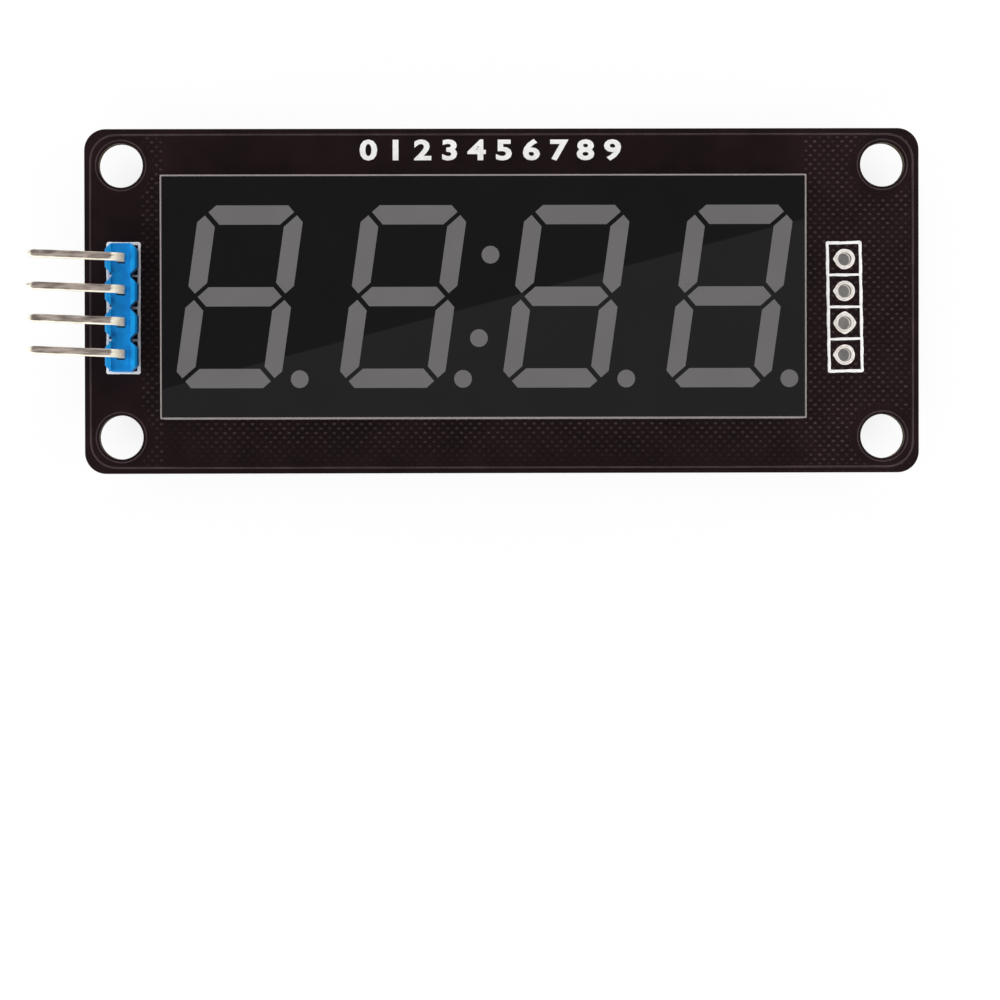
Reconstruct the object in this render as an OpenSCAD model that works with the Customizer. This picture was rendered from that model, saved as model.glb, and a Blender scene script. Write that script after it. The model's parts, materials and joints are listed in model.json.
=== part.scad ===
// Seven segment display module, in millimetres: a black circuit board with a four digit
// clock display and a bent pin header on its front, a spare row of header holes, and the
// driver chip with its small parts on the rear. z = 0 is the rear face of the board, +z
// points out of the display, +x runs along the digits and +y towards their tops. The origin
// is the centre of the four mounting holes.

/* [Digits] */
// Height of a digit over its outer edges
digit_h = 14.2; // [11.8:0.1:17]
// Width of a digit over its outer edges, before it is slanted
digit_w = 8.2; // [6.8:0.1:9.8]
// Distance from one digit to the next
digit_pitch = 12.7; // [10.5:0.1:15.3]
// Slant of the digits in degrees
digit_slant = 8; // [0:0.5:10]
// Width of a lying bar
bar_w = 1.5; // [1.2:0.05:1.8]
// Width of an upright bar
upright_w = 1.42; // [1.2:0.02:1.7]
// Gap between neighbouring bars
bar_gap = 0.35; // [0.2:0.05:0.5]
// Leg of the 45 degree cut at the outer corners of a digit
corner_cut = 1.3; // [1:0.05:1.6]
// Diameter of a decimal point or a colon dot
dot_d = 1.38; // [1.14:0.02:1.66]
// Gap between a digit and its decimal point, measured before the slant
dot_gap = 0.76; // [0.5:0.01:0.92]
// Height of each colon dot above or below the middle of the digits
colon_rise = 3.24; // [2.6:0.02:4]

/* [Display body] */
// Height of the display above the board
display_h = 8; // [6.6:0.1:9.6]
// Margin between the digits and each long edge of the display
face_margin_y = 2.4; // [1.9:0.1:3]
// Margin between the first digit and the left edge of the display
face_margin_left = 1.1; // [0.9:0.05:1.4]
// Margin between the last decimal point and the right edge of the display
face_margin_right = 0.66; // [0.5:0.01:0.8]
// Bare rim of the shell round the printed face
face_rim = 0.13; // [0.1:0.01:0.2]
// Thickness of the black print on the face
face_print_t = 0.05; // [0.03:0.01:0.1]
// Side wall of the shell round its rear recess
shell_wall = 0.8; // [0.6:0.05:1]
// Setback of the resin from the rear edge of the shell
back_setback = 0.3; // [0.2:0.05:0.4]
// Resin behind the die board
back_fill = 1; // [0.8:0.1:1.2]
// Thickness of the die board
die_board_t = 1; // [0.8:0.1:1.2]
// Resin between the die board and the reflector block
die_cover = 0.2; // [0.15:0.01:0.25]
// Gap between the edge of the die board and the shell wall
die_board_gap = 0.2; // [0.15:0.01:0.25]
// Size of a light well at its floor as a share of its mouth
well_floor = 0.5; // [0.4:0.05:0.7]
// Edge length of an LED die
die_side = 0.3; // [0.2:0.05:0.36]
// Height of an LED die
die_h = 0.25; // [0.2:0.01:0.3]

/* [Display pins] */
// Pins in each of the two rows
pins_per_row = 6; // [4:1:7]
// Distance from one pin to the next
display_pin_pitch = 2.54; // [2.1:0.02:3.04]
// Diameter of a display pin
display_pin_d = 0.5; // [0.4:0.02:0.6]
// Length of a display pin below the board
display_pin_tail = 1.3; // [1.05:0.05:1.6]
// Diameter of a plated hole for a display pin
display_hole_d = 0.8; // [0.7:0.02:0.96]
// Diameter of the pad round a display pin
display_pad_d = 1.5; // [1.25:0.05:1.8]
// Height of the solder on a display pin
display_joint_h = 0.95; // [0.75:0.05:1.15]
// Gap between the pads and the shell wall above them
pad_wall_gap = 0.33; // [0.25:0.01:0.4]

/* [Board] */
// Thickness of the board
board_t = 1.6; // [1.3:0.1:2]
// Corner radius of the board
board_corner_r = 1.7; // [1.2:0.1:2.2]
// Board to the left of the display, where the header stands
margin_left = 6.5; // [5.3:0.05:8]
// Board to the right of the display, where the spare holes are
margin_right = 9.55; // [7.8:0.05:11.5]
// Board above the display
margin_top = 4.1; // [3.4:0.1:5]
// Board below the display
margin_bottom = 4.3; // [3.5:0.1:5.2]
// Diameter of a mounting hole
hole_d = 3.5; // [2.9:0.1:4.1]
// Gap between a mounting hole and the ring printed round it
ring_gap = 0.58; // [0.48:0.01:0.7]
// Width of the printed ring
ring_stroke = 0.32; // [0.25:0.01:0.4]
// Gap between the printed ring and the edge of the board
ring_edge = 0.25; // [0.15:0.01:0.35]
// Thickness of the white print on the board
print_t = 0.03; // [0.02:0.01:0.04]
// Thickness of the copper pads and of the plating in the holes
copper_t = 0.05; // [0.04:0.01:0.07]

/* [Headers] */
// Pins of the header, and holes of the spare row
header_pins = 4; // [2:1:5]
// Distance from one header pin to the next
header_pitch = 2.54; // [2.1:0.02:3.04]
// Distance from the left edge of the board to the header pins
header_inset = 3.06; // [2.55:0.01:3.6]
// Distance from the right edge of the board to the spare holes
spare_inset = 5.9; // [4.9:0.1:6.8]
// Offset of the middle of both rows from the middle of the board
header_shift_y = -0.52; // [-0.7:0.01:0.7]
// Width of the header block across the row
block_w = 2.54; // [2.1:0.02:3]
// Height of the header block
block_h = 2.54; // [2.1:0.02:3.04]
// Leg of the 45 degree cuts at the corners of each block cell
block_notch = 0.5; // [0.4:0.01:0.6]
// Leg of the bevel along the two long top edges of the block
block_bevel = 0.16; // [0.1:0.01:0.25]
// Gap between the header pads and the hollows under the block that clear them
block_relief = 0.05; // [0.03:0.01:0.06]
// Length of the low neck between two cells
neck_l = 0.3; // [0.26:0.01:0.4]
// Drop of the necks, and of the channel along the block, below the top of the cells
neck_drop = 0.3; // [0.2:0.05:0.5]
// Side of the square header pins
header_pin_w = 0.64; // [0.54:0.01:0.68]
// Distance from the upright part of a header pin to its tip
header_reach = 7.34; // [6.1:0.02:8.8]
// Inner radius of the bend of a header pin
header_bend_r = 0.31; // [0.25:0.01:0.4]
// Rise of a header pin above the block before it bends
header_rise = 0.14; // [0.1:0.01:0.2]
// Sideways lean of the bent header pins in degrees
header_lean = 2; // [0:0.5:3]
// Length of the bevelled tip of a header pin
header_tip_l = 0.55; // [0.4:0.01:0.7]
// Side of the flat end of a header pin
header_tip_w = 0.3; // [0.25:0.01:0.36]
// Length of a header pin below the board
header_tail = 1.4; // [1.15:0.05:1.7]
// Diameter of a plated header hole
header_hole_d = 1; // [0.98:0.01:1.2]
// Diameter of the pad round a header hole
header_pad_d = 1.75; // [1.45:0.05:2]
// Height of the solder on a header pin
header_joint_h = 1; // [0.8:0.05:1.2]
// Width of the lines printed round the headers
header_stroke = 0.2; // [0.16:0.01:0.24]
// Gap between the header block and the line printed round it
header_stroke_gap = 0.01; // [0.01:0.01:0.1]

/* [Driver chip] */
// Leads of the chip, both sides together
chip_leads = 20; // [16:2:24]
// Distance from one chip lead to the next
chip_pitch = 1.27; // [1.05:0.01:1.5]
// Distance from the last lead to the end of the chip body
chip_end = 0.685; // [0.57:0.005:0.82]
// Thickness of the chip body
chip_body_h = 2.25; // [1.87:0.05:2.7]
// Gap between the chip body and the board
chip_standoff = 0.1; // [0.08:0.01:0.12]
// Inset of the chip's flat faces from its widest outline, at the mould taper
chip_draft = 0.22; // [0.15:0.01:0.3]
// Offset of the chip from the middle of the display pins
chip_shift_x = 0.6; // [-0.7:0.05:0.7]
// Gap between the chip's pads and the pads of the display pins
chip_row_gap = 0.67; // [0.5:0.01:0.8]
// Reach of a chip lead from the side of the body
chip_lead_reach = 1.4; // [1.2:0.02:1.66]
// Width of a chip lead
chip_lead_w = 0.4; // [0.33:0.01:0.48]
// Thickness of a chip lead
chip_lead_t = 0.2; // [0.16:0.01:0.25]
// Radius of the lead's bends, at the middle of its thickness
chip_bend_r = 0.3; // [0.25:0.01:0.36]
// Slope of the leg of a lead in degrees
chip_leg_angle = 80; // [68:1:88]
// Straight stretch of a lead between the body and its first bend
chip_shoulder = 0.1; // [0.05:0.01:0.15]
// Length of a lead inside the body
chip_lead_inside = 0.8; // [0.6:0.05:1]
// Width of a chip pad
chip_pad_w = 0.7; // [0.58:0.01:0.84]
// Reach of a chip pad beyond the tip of its lead
chip_pad_toe = 1.05; // [0.87:0.01:1.25]
// Distance from the lead's first bend to the inner end of its pad
chip_pad_heel = 0.35; // [0.3:0.01:0.42]
// Height of the solder bead on a chip pad
chip_bead_h = 0.24; // [0.2:0.01:0.28]
// Diameter of the dimple that marks the first lead
dimple_d = 0.93; // [0.77:0.01:1.1]
// Depth of the dimple
dimple_depth = 0.12; // [0.08:0.01:0.2]
// Distance from the end of the body to the dimple
dimple_end = 1.03; // [0.86:0.01:1.22]
// Distance from the side of the body to the dimple
dimple_side = 1.46; // [1.22:0.01:1.7]
// Gap between the inner lead ends and the paddle
paddle_gap = 0.6; // [0.5:0.01:0.7]
// Length of the paddle under the silicon
paddle_l = 4.5; // [3.7:0.1:5.4]
// Length of the silicon die
chip_die_l = 2.6; // [2.1:0.1:3.1]
// Width of the silicon die
chip_die_w = 1.8; // [1.5:0.1:2.1]
// Thickness of the silicon die
chip_die_t = 0.3; // [0.25:0.01:0.36]
// Gap between the end of the body and the outline printed round it
outline_gap = 0.2; // [0.15:0.01:0.3]
// Gap between the outline and the inner ends of the chip's pads
outline_pad_gap = 0.07; // [0.05:0.01:0.09]
// Width of the line printed round the chip
outline_stroke = 0.27; // [0.22:0.01:0.32]
// Opening in the printed outline at the first lead's end
outline_opening = 1.72; // [1.4:0.02:2.06]
// Length of the hooks at that opening
outline_hook = 0.5; // [0.42:0.01:0.6]
// Outer diameter of the bare copper ring beside the chip
via_d = 0.66; // [0.55:0.01:0.78]
// Diameter of the hole in that ring
via_hole_d = 0.3; // [0.25:0.01:0.36]
// Distance from the end of the chip body to the middle of the ring
via_out = 0.45; // [0.38:0.01:0.54]

/* [Small parts] */
// Length of a small part
small_l = 1.6; // [1.4:0.05:1.9]
// Width of a small part
small_w = 0.8; // [0.67:0.01:0.95]
// Length of the metal cap at each end of a small part
cap_l = 0.35; // [0.29:0.01:0.42]
// Thickness of the metal caps
cap_t = 0.03; // [0.02:0.01:0.04]
// Height of a capacitor
capacitor_h = 0.8; // [0.67:0.01:0.95]
// Height of a resistor
resistor_h = 0.45; // [0.38:0.01:0.54]
// Thickness of the dark coat on a resistor
coat_t = 0.04; // [0.03:0.01:0.05]
// Height of the power LED's base
led_base_h = 0.3; // [0.25:0.01:0.36]
// Height of the power LED's lens above its base
led_lens_h = 0.36; // [0.3:0.01:0.43]
// Taper of the lens on each side
led_lens_taper = 0.06; // [0.04:0.01:0.08]
// Edge length of the power LED's die
led_die_side = 0.24; // [0.2:0.01:0.28]
// Reach of a small pad beyond the end of its part
small_pad_toe = 0.475; // [0.4:0.005:0.57]
// Reach of a small pad beyond each side of its part
small_pad_side = 0.075; // [0.06:0.005:0.09]
// Height of the solder at the end of a small part
small_joint_h = 0.3; // [0.24:0.01:0.36]
// Gap between the small pads and the brackets printed round them
bracket_gap = 0.2; // [0.16:0.01:0.24]
// Width of the line of a bracket
bracket_stroke = 0.22; // [0.18:0.01:0.26]
// Opening between the two brackets round a small part
bracket_opening = 1.2; // [1:0.02:1.44]
// Gap between neighbouring columns of brackets
column_gap = 0.26; // [0.2:0.01:0.32]
// Gap between neighbouring rows of brackets
row_gap = 0.22; // [0.18:0.01:0.27]
// Gap between the display pins and the first column of brackets
group_gap = 1.25; // [1:0.05:1.5]
// Height of the first row of small parts above the middle of the display
group_rise = 4.95; // [4.1:0.05:5.95]
// Length of the printed bar under the power LED, between the cut corners of its bracket
polarity_l = 1.1; // [1:0.02:1.32]

/* [Legend] */
// Side of a legend square
legend_side = 1.18; // [0.98:0.02:1.4]
// Gap between two legend squares
legend_gap = 0.33; // [0.27:0.01:0.4]
// Number of legend squares
legend_count = 5; // [2:1:6]
// Place of the marked square, counted from the top
legend_marked = 4; // [1:1:5]
// Distance from the legend to the spare holes
legend_inset = 8.7; // [7.2:0.1:10.4]
// Offset of the middle of the legend from the middle of the board
legend_shift_y = -0.38; // [-0.5:0.01:0.5]

/* [Hidden] */
$fn = 48;
digit_count = 4;
capacitor_count = 4;
resistor_count = 3;
arc_steps = 4;
fillet_steps = 6;
// How far a cut runs past the face it opens
over = 0.5;
// How far a light well starts inside the resin layer below it
well_root = 0.1;

// Digits and face
lean = tan(digit_slant);
bar_half_gap = bar_gap * sqrt(2) / 2;
dot_r = dot_d / 2;
dot_offset = [digit_w / 2 + dot_gap + dot_r, dot_r - digit_h / 2];
reach_left = (digit_w + lean * digit_h) / 2;
reach_right = dot_offset.x + lean * dot_offset.y + dot_r;
digits_l = (digit_count - 1) * digit_pitch + reach_left + reach_right;
display_l = face_margin_left + digits_l + face_margin_right;
display_w = digit_h + 2 * face_margin_y;

// Board, centred on the origin
board_l = margin_left + display_l + margin_right;
board_w = margin_bottom + display_w + margin_top;
display_x = (margin_left - margin_right) / 2;
display_y = (margin_bottom - margin_top) / 2;
hole_inset = hole_d / 2 + ring_gap + ring_stroke + ring_edge;
hole_x = board_l / 2 - hole_inset;
hole_y = board_w / 2 - hole_inset;
first_digit_x = display_x - display_l / 2 + face_margin_left + reach_left;
digits_mid_x = first_digit_x + (digit_count - 1) * digit_pitch / 2;

// Levels of the display, measured from the board's rear face
display_top = board_t + display_h;
print_base = display_top - face_print_t;
resin_base = board_t + back_setback;
die_board_base = resin_base + back_fill;
die_board_top = die_board_base + die_board_t;
recess_top = die_board_top + die_cover;
recess_l = display_l - 2 * shell_wall;
recess_w = display_w - 2 * shell_wall;
die_board_l = recess_l - 2 * die_board_gap;
die_board_w = recess_w - 2 * die_board_gap;

// Rows of display pins
pin_row_y = display_w / 2 - shell_wall - pad_wall_gap - display_pad_d / 2;
pin_row_l = (pins_per_row - 1) * display_pin_pitch;

// Headers
header_x = header_inset - board_l / 2;
spare_x = board_l / 2 - spare_inset;
header_l = header_pins * header_pitch;
block_top = board_t + block_h;
neck_w = block_w - 2 * block_notch;
bend_mid_r = header_bend_r + header_pin_w / 2;
bend_z = block_top + header_rise;
header_run_z = bend_z + bend_mid_r;

// Driver chip: heights are measured away from the board's rear face
chip_x = display_x + chip_shift_x;
chip_y = display_y;
chip_per_side = chip_leads / 2;
chip_body_l = (chip_per_side - 1) * chip_pitch + 2 * chip_end;
chip_pad_out = pin_row_y - display_pad_d / 2 - chip_row_gap;
chip_lead_tip = chip_pad_out - chip_pad_toe;
chip_body_w = 2 * (chip_lead_tip - chip_lead_reach);
chip_first_bend = chip_body_w / 2 + chip_shoulder;
chip_pad_in = chip_first_bend + chip_pad_heel;
chip_lead_level = chip_standoff + chip_body_h / 2;
chip_foot_level = copper_t + chip_lead_t / 2;
chip_lead_root = chip_body_w / 2 - chip_lead_inside;
paddle_w = 2 * (chip_lead_root - paddle_gap);
outline_l = chip_body_l + 2 * (outline_gap + outline_stroke);
outline_w = 2 * (chip_pad_in - outline_pad_gap);
via_place = [chip_x + chip_body_l / 2 + via_out, chip_y - chip_lead_tip];

// Small parts, in columns away from the chip and rows down the board
small_pad_l = cap_l + small_pad_toe;
small_pad_w = small_w + 2 * small_pad_side;
bracket_w = small_pad_w + 2 * (bracket_gap + bracket_stroke);
bracket_l = small_l + 2 * (small_pad_toe + bracket_gap + bracket_stroke);
first_column_x = display_x - pin_row_l / 2 - display_pad_d / 2 - group_gap - bracket_w / 2;
first_row_y = display_y + group_rise;
polarity_cut = (bracket_w - polarity_l) / 2;
CAPACITOR_CELLS = [[0, 0], [1, 0], [2, 2], [3, 2]];
RESISTOR_CELLS = [[2, 0], [2, 1], [3, 1]];
LED_CELL = [3, 0];
SMALL_CELLS = concat(CAPACITOR_CELLS, RESISTOR_CELLS, [LED_CELL]);

// Legend
legend_x = spare_x - legend_inset;
legend_pitch = legend_side + legend_gap;

// Functions

// A point of an upright digit, moved sideways by the slant
function slanted(p) = [p.x + lean * p.y, p.y];

// The turned and mirrored copies of a bar's outline
function flip_x(points) = [for (p = points) [-p.x, p.y]];
function flip_y(points) = [for (p = points) [p.x, -p.y]];

// Half size of a digit
half = [digit_w / 2, digit_h / 2];
// Depth of a bar's tip below the outer edge, where the corner cut meets the mitre
tip_in = (corner_cut - bar_half_gap) / 2;
tip_along = (corner_cut + bar_half_gap) / 2;
// Distance from the outer edge to the point where three bars meet
joint_in = upright_w / 2 - bar_half_gap / 2;

// The top bar, clockwise from the left tip
function top_bar() = [
    [-half.x + tip_along, half.y - tip_in],
    [-half.x + corner_cut, half.y],
    [half.x - corner_cut, half.y],
    [half.x - tip_along, half.y - tip_in],
    [half.x - bar_w - bar_half_gap, half.y - bar_w],
    [-half.x + bar_w + bar_half_gap, half.y - bar_w]
];

// The upper left bar, clockwise from its top tip
function upper_left_bar() = [
    [-half.x + tip_in, half.y - tip_along],
    [-half.x + upright_w, half.y - upright_w - bar_half_gap],
    [-half.x + upright_w, upright_w - joint_in + bar_half_gap],
    [-half.x + joint_in, bar_half_gap],
    [-half.x, joint_in + bar_half_gap],
    [-half.x, half.y - corner_cut]
];

// The middle bar, clockwise from its left tip
function middle_bar() = [
    [-half.x + joint_in + bar_half_gap, 0],
    [-half.x + joint_in + bar_half_gap + bar_w / 2, bar_w / 2],
    [half.x - joint_in - bar_half_gap - bar_w / 2, bar_w / 2],
    [half.x - joint_in - bar_half_gap, 0],
    [half.x - joint_in - bar_half_gap - bar_w / 2, -bar_w / 2],
    [-half.x + joint_in + bar_half_gap + bar_w / 2, -bar_w / 2]
];

// The seven bars of a digit, each with the middle that its light well narrows towards
BARS = [
    top_bar(), flip_y(top_bar()), middle_bar(),
    upper_left_bar(), flip_x(upper_left_bar()),
    flip_y(upper_left_bar()), flip_x(flip_y(upper_left_bar()))
];
side_mid = [half.x - upright_w / 2, (half.y - tip_along + bar_half_gap) / 2];
BAR_MIDDLES = [
    [0, half.y - bar_w / 2], [0, bar_w / 2 - half.y], [0, 0],
    [-side_mid.x, side_mid.y], side_mid, [-side_mid.x, -side_mid.y], [side_mid.x, -side_mid.y]
];
// Places of the round dots from the middle of the digits: decimal points, then the colon
DOTS = concat(
    [for (k = [0:digit_count - 1])
        [first_digit_x + k * digit_pitch, 0] + slanted(dot_offset)],
    [for (side = [1, -1]) [digits_mid_x, 0] + slanted([0, side * colon_rise])]
);
BAR_PLACES = [for (k = [0:digit_count - 1]) for (p = BAR_MIDDLES)
    [first_digit_x + k * digit_pitch, 0] + slanted(p)];

// Points of an arc about a centre, from one angle to another
function arc(centre, r, from, to, steps = arc_steps) =
    [for (i = [0:steps]) let (a = from + (to - from) * i / steps)
        centre + r * [cos(a), sin(a)]];

// Middle of a small part in its column and row
function cell_place(cell) =
    [first_column_x - cell.x * (bracket_w + column_gap), first_row_y - cell.y * (bracket_l + row_gap)];

// Places of the display pins and of the header pins or spare holes
DISPLAY_PINS = [for (side = [1, -1]) for (i = [0:pins_per_row - 1])
    [display_x - pin_row_l / 2 + i * display_pin_pitch, display_y + side * pin_row_y]];
function header_place(x, i) =
    [x, header_shift_y + (header_pins - 1) * header_pitch / 2 - (i - 1) * header_pitch];
HEADER_PLACES = [for (i = [1:header_pins]) header_place(header_x, i)];
SPARE_PLACES = [for (i = [1:header_pins]) header_place(spare_x, i)];

// Outline of a chip lead, seen from its side: distance from the middle of the chip, and
// height from the board. It leaves the body, bends down, and bends back to lie on its pad.
function lead_outline() =
    let (h = chip_lead_t / 2, r = chip_bend_r, a = chip_leg_angle)
    let (drop = chip_lead_level - chip_foot_level)
    let (leg = (drop - 2 * r * (1 - cos(a))) / sin(a))
    let (upper = [chip_first_bend, chip_lead_level - r])
    let (lower = [chip_first_bend + 2 * r * sin(a) + leg * cos(a), chip_foot_level + r])
    concat(
        [[chip_lead_root, chip_lead_level - h], [chip_lead_root, chip_lead_level + h]],
        arc(upper, r + h, 90, 90 - a),
        arc(lower, r - h, 270 - a, 270),
        [[chip_lead_tip, chip_foot_level + h], [chip_lead_tip, chip_foot_level - h]],
        arc(lower, r + h, 270, 270 - a),
        arc(upper, r - h, 90 - a, 90)
    );

// Half outline of a solder joint: it hugs the pin at its tip and spreads over the pad
function joint_outline(pad_r, hole_r, tip_r, h) = concat(
    [[0, board_t + copper_t], [hole_r, board_t + copper_t], [hole_r, -copper_t]],
    [for (i = [0:fillet_steps]) let (t = i / fillet_steps)
        [tip_r + (pad_r - tip_r) * pow(1 - t, 1.4), -copper_t - h * t]],
    [[0, -copper_t - h]]
);

// Shared shapes

// A flat box from its middle in x and y and its lowest level
module slab(size, base) {
    translate([-size.x / 2, -size.y / 2, base]) cube(size);
}

// A box lying on the rear face, so many millimetres deep from a given height
module rear_slab(size, height = 0) {
    slab(size, -height - size.z);
}

module rounded_rectangle(l, w, r) {
    square([l - 2 * r, w], center = true);
    square([l, w - 2 * r], center = true);
    for (x = [-1, 1], y = [-1, 1])
        translate([x * (l / 2 - r), y * (w / 2 - r)]) circle(r);
}

// The line round a rectangle, given over its outer edges
module rectangle_line(size, stroke) {
    difference() {
        square(size, center = true);
        square([size.x - 2 * stroke, size.y - 2 * stroke], center = true);
    }
}

// Copper eyelet: a pad on each face of the board and the plating in the hole between them
module eyelet(pad_d, bore_d) {
    rotate_extrude() polygon([
        [bore_d / 2, -copper_t], [pad_d / 2, -copper_t], [pad_d / 2, 0],
        [bore_d / 2 + copper_t, 0], [bore_d / 2 + copper_t, board_t],
        [pad_d / 2, board_t], [pad_d / 2, board_t + copper_t], [bore_d / 2, board_t + copper_t]
    ]);
}

// The hole in the board that an eyelet lines
module drilled(places, bore_d) {
    for (p = places) translate([p.x, p.y, -over])
        cylinder(h = board_t + 2 * over, d = bore_d + 2 * copper_t);
}

// One light well or the resin in it, from its narrow floor up to a given level. Its outline
// narrows towards its own middle.
module well(points, middle, top) {
    base = recess_top - well_root;
    translate([middle.x, middle.y, base])
        linear_extrude(top - base, scale = 1 / well_floor)
        polygon([for (p = points) (p - middle) * well_floor]);
}

// All light wells: the slanted bars of each digit and the round dots
module wells(top) {
    base = recess_top - well_root;
    for (k = [0:digit_count - 1]) translate([first_digit_x + k * digit_pitch, display_y, 0])
        for (b = [0:len(BARS) - 1])
            well([for (p = BARS[b]) slanted(p)], slanted(BAR_MIDDLES[b]), top);
    for (p = DOTS) translate([p.x, display_y + p.y, base])
        cylinder(h = top - base, r1 = dot_r * well_floor, r2 = dot_r);
}

// The mouths of the wells, cut straight through the print or standing up in it
module mouths(base, top) {
    for (k = [0:digit_count - 1]) translate([first_digit_x + k * digit_pitch, display_y, base])
        for (bar = BARS) linear_extrude(top - base) polygon([for (p = bar) slanted(p)]);
    for (p = DOTS) translate([p.x, display_y + p.y, base]) cylinder(h = top - base, r = dot_r);
}

// Circuit board and its print

module circuit_board() {
    color([0.1, 0.08, 0.08]) difference() {
        linear_extrude(board_t) rounded_rectangle(board_l, board_w, board_corner_r);
        for (x = [-hole_x, hole_x], y = [-hole_y, hole_y])
            translate([x, y, -over]) cylinder(h = board_t + 2 * over, d = hole_d);
        drilled(DISPLAY_PINS, display_hole_d);
        drilled(HEADER_PLACES, header_hole_d);
        drilled(SPARE_PLACES, header_hole_d);
        drilled([via_place], via_hole_d);
    }
}

// The line round a row of header holes, with a line across between two holes
module header_box() {
    size = [block_w, header_l] + [1, 1] * 2 * (header_stroke_gap + header_stroke);
    rectangle_line(size, header_stroke);
    for (i = [1:header_pins - 1]) translate([0, header_l / 2 - i * header_pitch])
        square([size.x, header_stroke], center = true);
}

// Both rows have the same box. The header block covers the middle of its own.
module front_silkscreen() {
    color([0.93, 0.93, 0.92]) translate([0, 0, board_t]) linear_extrude(print_t) {
        translate([spare_x, header_shift_y]) header_box();
        translate([header_x, header_shift_y]) difference() {
            header_box();
            square([neck_w, header_l], center = true);
        }
    }
}

// Line round the chip, open at the end with the dimple and closed off there by two hooks
module chip_outline() {
    difference() {
        rectangle_line([outline_l, outline_w], outline_stroke);
        translate([outline_l / 2, 0]) square([2 * outline_stroke + over, outline_opening], center = true);
    }
    for (side = [1, -1])
        translate([outline_l / 2 - outline_hook / 2, side * (outline_opening + outline_stroke) / 2])
            square([outline_hook, outline_stroke], center = true);
}

// The pair of brackets round a small part
module brackets() {
    difference() {
        rectangle_line([bracket_w, bracket_l], bracket_stroke);
        square([bracket_w + over, bracket_opening], center = true);
    }
}

// A rectangle with 45 degree cuts at its two lower corners
module cut_rectangle(size, cut) {
    polygon([
        [-size.x / 2, size.y / 2], [size.x / 2, size.y / 2], [size.x / 2, cut - size.y / 2],
        [size.x / 2 - cut, -size.y / 2], [cut - size.x / 2, -size.y / 2],
        [-size.x / 2, cut - size.y / 2]
    ]);
}

// The brackets round the power LED: the lower one has cut corners and a thick bar, which
// mark how the LED has to lie
module polarity_brackets() {
    inner = [bracket_w, bracket_l] - [1, 1] * 2 * bracket_stroke;
    difference() {
        cut_rectangle([bracket_w, bracket_l], polarity_cut);
        cut_rectangle(inner, polarity_cut - bracket_stroke * (2 - sqrt(2)));
        square([bracket_w + over, bracket_opening], center = true);
    }
    translate([0, -(bracket_l + row_gap) / 2]) square([polarity_l, row_gap], center = true);
}

module rear_silkscreen() {
    color([0.93, 0.93, 0.92]) translate([0, 0, -print_t]) linear_extrude(print_t) {
        for (x = [-hole_x, hole_x], y = [-hole_y, hole_y]) translate([x, y]) difference() {
            circle(d = hole_d + 2 * (ring_gap + ring_stroke));
            circle(d = hole_d + 2 * ring_gap);
        }
        translate([chip_x, chip_y]) chip_outline();
        for (cell = concat(CAPACITOR_CELLS, RESISTOR_CELLS)) translate(cell_place(cell)) brackets();
        translate(cell_place(LED_CELL)) polarity_brackets();
    }
}

// One legend square, counted from the top
module legend_square(i) {
    translate([legend_x, legend_shift_y + ((legend_count + 1) / 2 - i) * legend_pitch, 0])
        rear_slab([legend_side, legend_side, print_t]);
}

module legend_squares() {
    color([0.58, 0.58, 0.57])
        for (i = [1:legend_count]) if (i != legend_marked) legend_square(i);
}

module legend_mark() {
    color([0.95, 0.05, 0.04]) legend_square(legend_marked);
}

// Pin header and spare holes

// Side view of the block: two ridges with bevelled outer edges, and a channel between them
module block_section() {
    polygon([
        [-block_w / 2, 0], [block_w / 2, 0], [block_w / 2, block_h - block_bevel],
        [block_w / 2 - block_bevel, block_h], [neck_w / 2, block_h],
        [neck_w / 2, block_h - neck_drop], [-neck_w / 2, block_h - neck_drop],
        [-neck_w / 2, block_h], [block_bevel - block_w / 2, block_h],
        [-block_w / 2, block_h - block_bevel]
    ]);
}

// One cell of the block, with cut corners: its upper and lower end lie so far from its pin
module block_cell(upper, lower) {
    intersection() {
        linear_extrude(block_h) polygon([
            [block_w / 2, upper - block_notch], [neck_w / 2, upper],
            [-neck_w / 2, upper], [-block_w / 2, upper - block_notch],
            [-block_w / 2, block_notch - lower], [-neck_w / 2, -lower],
            [neck_w / 2, -lower], [block_w / 2, block_notch - lower]
        ]);
        rotate([90, 0, 0]) translate([0, 0, -upper]) linear_extrude(upper + lower) block_section();
    }
}

// The block is one moulding: a cell round each pin, low necks between, and a hollow under
// each cell for the pad. The first and the last cell reach to the ends of the block.
module header_block() {
    cell_end = (header_pitch - neck_l) / 2;
    color([0.12, 0.5, 0.8]) difference() {
        union() {
            for (i = [1:header_pins]) translate([header_x, HEADER_PLACES[i - 1].y, board_t])
                block_cell(i == 1 ? header_pitch / 2 : cell_end,
                    i == header_pins ? header_pitch / 2 : cell_end);
            translate([header_x, header_shift_y, 0])
                slab([neck_w, header_l - neck_l, block_h - neck_drop], board_t);
        }
        for (p = HEADER_PLACES) translate([p.x, p.y, 0]) {
            rotate([0, 0, -header_lean])
                slab([header_pin_w, header_pin_w, block_h + 2 * over], board_t - over);
            translate([0, 0, board_t - over])
                cylinder(h = over + copper_t + block_relief, d = header_pad_d + 2 * block_relief);
        }
    }
}

// A square pin that tapers to a flat end: both side views are cut to the same outline
module pin_point(l) {
    w = header_pin_w / 2;
    t = header_tip_w / 2;
    outline = [[0, -w], [l - header_tip_l, -w], [l, -t], [l, t], [l - header_tip_l, w], [0, w]];
    intersection() {
        translate([0, 0, -w]) linear_extrude(2 * w) polygon(outline);
        rotate([90, 0, 0]) translate([0, 0, -w]) linear_extrude(2 * w) polygon(outline);
    }
}

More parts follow.
